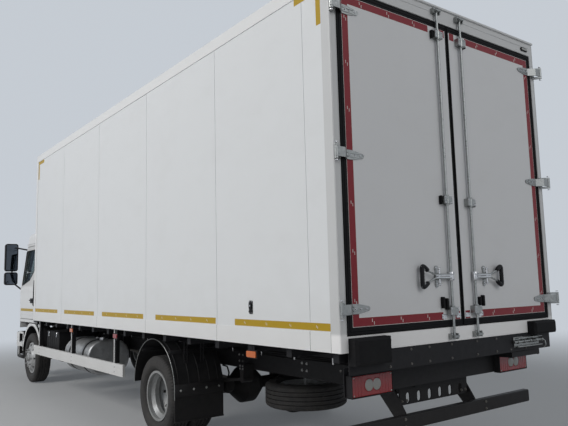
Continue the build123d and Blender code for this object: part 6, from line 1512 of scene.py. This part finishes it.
for x in (-3.60, -1.20, 1.20):
    spots.box((x - 0.10, -0.04, 3.6900), (x + 0.10, 0.04, 3.7105), 0.008, 2)
evaporator.done(smooth=50)
spots.done()
print("cooling unit and load space done:", Piece.count, "pieces so far")

# %% [markdown]
# ## Seats
#
# A seat is soft, so its cushions are modelled full and a little uneven, with side bolsters and seams.
# Each cushion is a grid of points on a rounded block whose top swells between the seams.

# %% Cushions in place of the plain seats
GRID = (18, 14)
SEAT_X, SEAT_Y = 3.220, 0.690
LEAN, UPRIGHT = (-0.18, 0, 1), (1, 0, 0.18)


def cushion(piece, centre, size, v, w, puff):
    """A padded block: size along Y, v and w, its w face swelling by puff between two seams."""
    centre, u, v, w = Vector(centre), Vector((0, 1, 0)), Vector(v).normalized(), Vector(w).normalized()
    n, m = GRID
    grid = {}
    for layer, i, j in each((-1, 1), range(n + 1), range(m + 1)):
        a, b = 2 * i / n - 1, 2 * j / m - 1
        edge = (1 - abs(a) ** 6) * (1 - abs(b) ** 6)
        seams = 1 - 0.45 * math.exp(-((abs(a) - 0.62) / 0.05) ** 2)
        lift = 0.5 * size[2] * (0.55 + 0.45 * edge ** 0.5)
        if layer > 0:
            lift += puff * edge * seams * (0.8 + 0.2 * math.cos(2.2 * b))
        shrink = 1 - 0.06 * (1 - edge ** 0.5)
        grid[layer, i, j] = piece.mesh.verts.new(
            centre + u * (a * size[0] / 2 * shrink) + v * (b * size[1] / 2 * shrink) + w * (lift * layer)
        )
    for layer, i, j in each((-1, 1), range(n), range(m)):
        corners = ((i, j), (i + 1, j), (i + 1, j + 1), (i, j + 1))
        piece.mesh.faces.new([grid[layer, a, b] for a, b in corners])
    ring = [(i, 0) for i in range(n)] + [(n, j) for j in range(m)]
    ring += [(n - i, m) for i in range(n)] + [(0, m - j) for j in range(m)]
    for p, q in zip(ring, ring[1:] + ring[:1]):
        piece.mesh.faces.new([grid[-1, *p], grid[-1, *q], grid[1, *q], grid[1, *p]])


seat_low, seat_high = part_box("seats")
cushions = Piece("seat_cushions", seat_cloth, "cab")
pedestals = Piece("seat_pedestals", moulded_black, "cab")
for y in (SEAT_Y, -SEAT_Y):
    cushion(cushions, (SEAT_X + 0.345, y, 1.475), (0.42, 0.46, 0.12), (1, 0, 0.06), (-0.06, 0, 1), 0.022)
    cushion(cushions, (SEAT_X + 0.055, y, 1.760), (0.42, 0.56, 0.10), LEAN, UPRIGHT, 0.020)
    cushion(cushions, (SEAT_X - 0.010, y, 2.100), (0.25, 0.19, 0.075), LEAN, UPRIGHT, 0.012)
    for x0, x1, half, z0, z1, soften in (
        (0.16, 0.50, 0.15, 1.0905, 1.13, 0.008), (0.20, 0.46, 0.12, 1.12, 1.395, 0.02),
        (0.08, 0.58, 0.20, 1.38, 1.425, 0.012), (-0.02, 0.03, 0.045, 1.44, 1.75, 0.01),
    ):
        pedestals.box((SEAT_X + x0, y - half, z0), (SEAT_X + x1, y + half, z1), soften)
    for stalk in near(y, 0.05):
        pedestals.rod((SEAT_X + 0.004, stalk, 1.95), (SEAT_X - 0.012, stalk, 2.06), 0.007)
seat_cushions = cushions.done(smooth=60)
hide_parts("seats")
seat_pedestals = pedestals.done()
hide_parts("seats")
print("seats", [round(v, 3) for v in seat_low], [round(v, 3) for v in seat_high])

# %% [markdown]
# ## Finishes of the fixed pieces
#
# The solids of the frame keep their shape and take a finish each. The table is the whole paint plan of
# the truck: white for the box and the cab, black below, bare metal where hands and hinges work.

# %% Paint every fixed piece
PAINT = {
    side_white: ("body_walls",),
    roof_white: ("body_roof", "body_floor"),
    rail_white: ("body_rails",),
    portal_white: ("rear_portal",),
    door_white: ("left_rear_door", "right_rear_door"),
    cab_white: ("cab_shell", "cab_left_door", "cab_right_door"),
    guard_white: ("side_guards",),
    unit_white: ("cooling_unit",),
    galvanised: ("portal_ironwork", "left_door_ironwork", "right_door_ironwork"),
    chassis_black: ("chassis_frame", "body_bearers", "underrun_bar", "axles", "leaf_springs", "air_tanks"),
    cast_metal: ("engine_block", "driveline", "left_knuckle", "right_knuckle"),
    moulded_black: ("mudguards", "battery_boxes", "bumper", "dashboard", "grille", "mirrors"),
    rubber_black: ("dock_buffers", "left_door_gasket", "right_door_gasket"),
    tank_metal: ("fuel_tank",),
    tyre_rubber: ("front_left_tyre", "front_right_tyre", "rear_left_tyres", "rear_right_tyres", "spare_tyre"),
    rim_silver: ("front_left_rim", "front_right_rim", "spare_rim"),
    rim_grey: ("rear_left_rims", "rear_right_rims"),
    lens_red: ("tail_lamps",),
    lens_clear: ("headlamps",),
    window_glass: ("windscreen", "left_door_glass", "right_door_glass"),
    seat_cloth: ("seats",),
}
for finish, names in PAINT.items():
    for name in names:
        nodes[name].data.materials.clear()
        nodes[name].data.materials.append(finish.material)
print(sum(len(names) for names in PAINT.values()), "fixed pieces painted of", len(nodes))

# %% [markdown]
# ## Floor, backdrop and light
#
# A white truck needs a background that is pale but a little darker than its lit side, and a light that
# leaves the side almost white and the rear one step darker. One large soft key from the left does
# that. A weaker one behind the camera opens the shadows, and the sky fills the underside.
#
# The floor glows faintly in the backdrop's colour, more so far away, so that it meets the backdrop
# without a line. Only rays that look at it see the glow: it lights nothing.

# %% Floor and backdrop
BACKDROP = (0.56, 0.60, 0.65)
FLOOR_HALF = 90
floor_finish = Finish("studio_floor", 0.75, colour=(0.45, 0.45, 0.45))
cloud = floor_finish.noise(0.35, 3.0)
floor_finish.set(Base_Color=floor_finish.mix(cloud, (0.435, 0.435, 0.435), (0.475, 0.475, 0.47)))
floor_finish.bump(floor_finish.noise(70.0, 4.0) * 0.0006)
distance = floor_finish.node("VectorMath", {0: floor_finish.place()}, "Value", operation="LENGTH")
far = distance.band(5.0, 15.0) * 0.86 + 0.14
glow = floor_finish.node("Emission", {"Color": BACKDROP})
looked_at = floor_finish.node("LightPath", output="Is Camera Ray")
for ray in ("Is Glossy Ray", "Is Transmission Ray"):
    looked_at = looked_at + floor_finish.node("LightPath", output=ray)
lit = Wire(floor_finish.tree, floor_finish.shader.outputs[0])
blend = floor_finish.node("MixShader", {0: (looked_at * far).clamp(), 1: lit, 2: glow})
plug(floor_finish.tree, floor_finish.tree.nodes["Material Output"].inputs["Surface"], blend)
floor_mesh = bpy.data.meshes.new("studio_floor")
corners = [(x * FLOOR_HALF, y * FLOOR_HALF, 0) for x, y in ((-1, -1), (1, -1), (1, 1), (-1, 1))]
floor_mesh.from_pydata(corners, [], [(0, 1, 2, 3)])
floor_mesh.materials.append(floor_finish.material)
floor = bpy.data.objects.new("studio_floor", floor_mesh)
bpy.context.scene.collection.objects.link(floor)

world = bpy.context.scene.world or bpy.data.worlds.new("studio")
bpy.context.scene.world = world
world.use_nodes = True
world.node_tree.nodes.clear()
sky = Nodes(world.node_tree)
ambient = sky.node("Background", {"Color": (0.90, 0.95, 1.0), "Strength": 0.18})
backdrop = sky.node("Background", {"Color": BACKDROP, "Strength": 1.0})
camera_ray, glossy_ray, glass_ray = (
    sky.node("LightPath", output=f"Is {kind} Ray") for kind in ("Camera", "Glossy", "Transmission")
)
seen = camera_ray.larger(glossy_ray.larger(glass_ray))
sky_out = sky.tree.nodes.new("ShaderNodeOutputWorld")
plug(sky.tree, sky_out.inputs[0], sky.node("MixShader", {0: seen, 1: ambient, 2: backdrop}))


# %% Lamps and camera
def area(name, at, target, size, power, tone=(1.0, 1.0, 1.0)):
    """A large square lamp that faces a point."""
    data = bpy.data.lights.new(name, "AREA")
    data.shape, data.size, data.energy, data.color = "SQUARE", size, power, tone
    lamp = bpy.data.objects.new(name, data)
    lamp.location = at
    lamp.rotation_euler = (Vector(target) - Vector(at)).to_track_quat("-Z", "Y").to_euler()
    bpy.context.scene.collection.objects.link(lamp)
    return lamp


key = area("key", (0.5, 16.5, 12.0), (-0.5, 0.5, 1.8), 8.0, 2120, (1.0, 0.985, 0.96))
rear_fill = area("rear_fill", (-14.0, -1.0, 7.0), (-4.0, 0.0, 1.8), 7.0, 285, (1.0, 0.99, 0.97))
low_fill = area("low_fill", (-9.0, 9.0, 1.6), (-3.0, 1.0, 0.7), 4.0, 40)

AZIMUTH, ELEVATION, ROLL = math.radians(232.94), math.radians(-6.93), math.radians(-1.42)
CAMERA_AT = (-7.7146, 4.0066, 1.549)
forward = -Vector((
    math.sin(AZIMUTH) * math.cos(ELEVATION), -math.cos(AZIMUTH) * math.cos(ELEVATION), math.sin(ELEVATION)
))
level = forward.cross(Vector(UP)).normalized()
down = -level.cross(forward)
right = math.cos(ROLL) * level - math.sin(ROLL) * down
below = math.sin(ROLL) * level + math.cos(ROLL) * down
camera_data = bpy.data.cameras.new("camera")
camera_data.lens, camera_data.sensor_width = 38.25, 36.0
camera = bpy.data.objects.new("camera", camera_data)
turn = Matrix((right, -below, -forward)).transposed().to_4x4()
camera.matrix_world = Matrix.Translation(CAMERA_AT) @ turn
bpy.context.scene.collection.objects.link(camera)
bpy.context.scene.camera = camera
bpy.context.scene.view_settings.view_transform = "Standard"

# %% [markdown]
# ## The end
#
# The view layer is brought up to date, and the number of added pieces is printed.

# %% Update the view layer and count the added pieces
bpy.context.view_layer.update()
print(Piece.count, "added pieces")
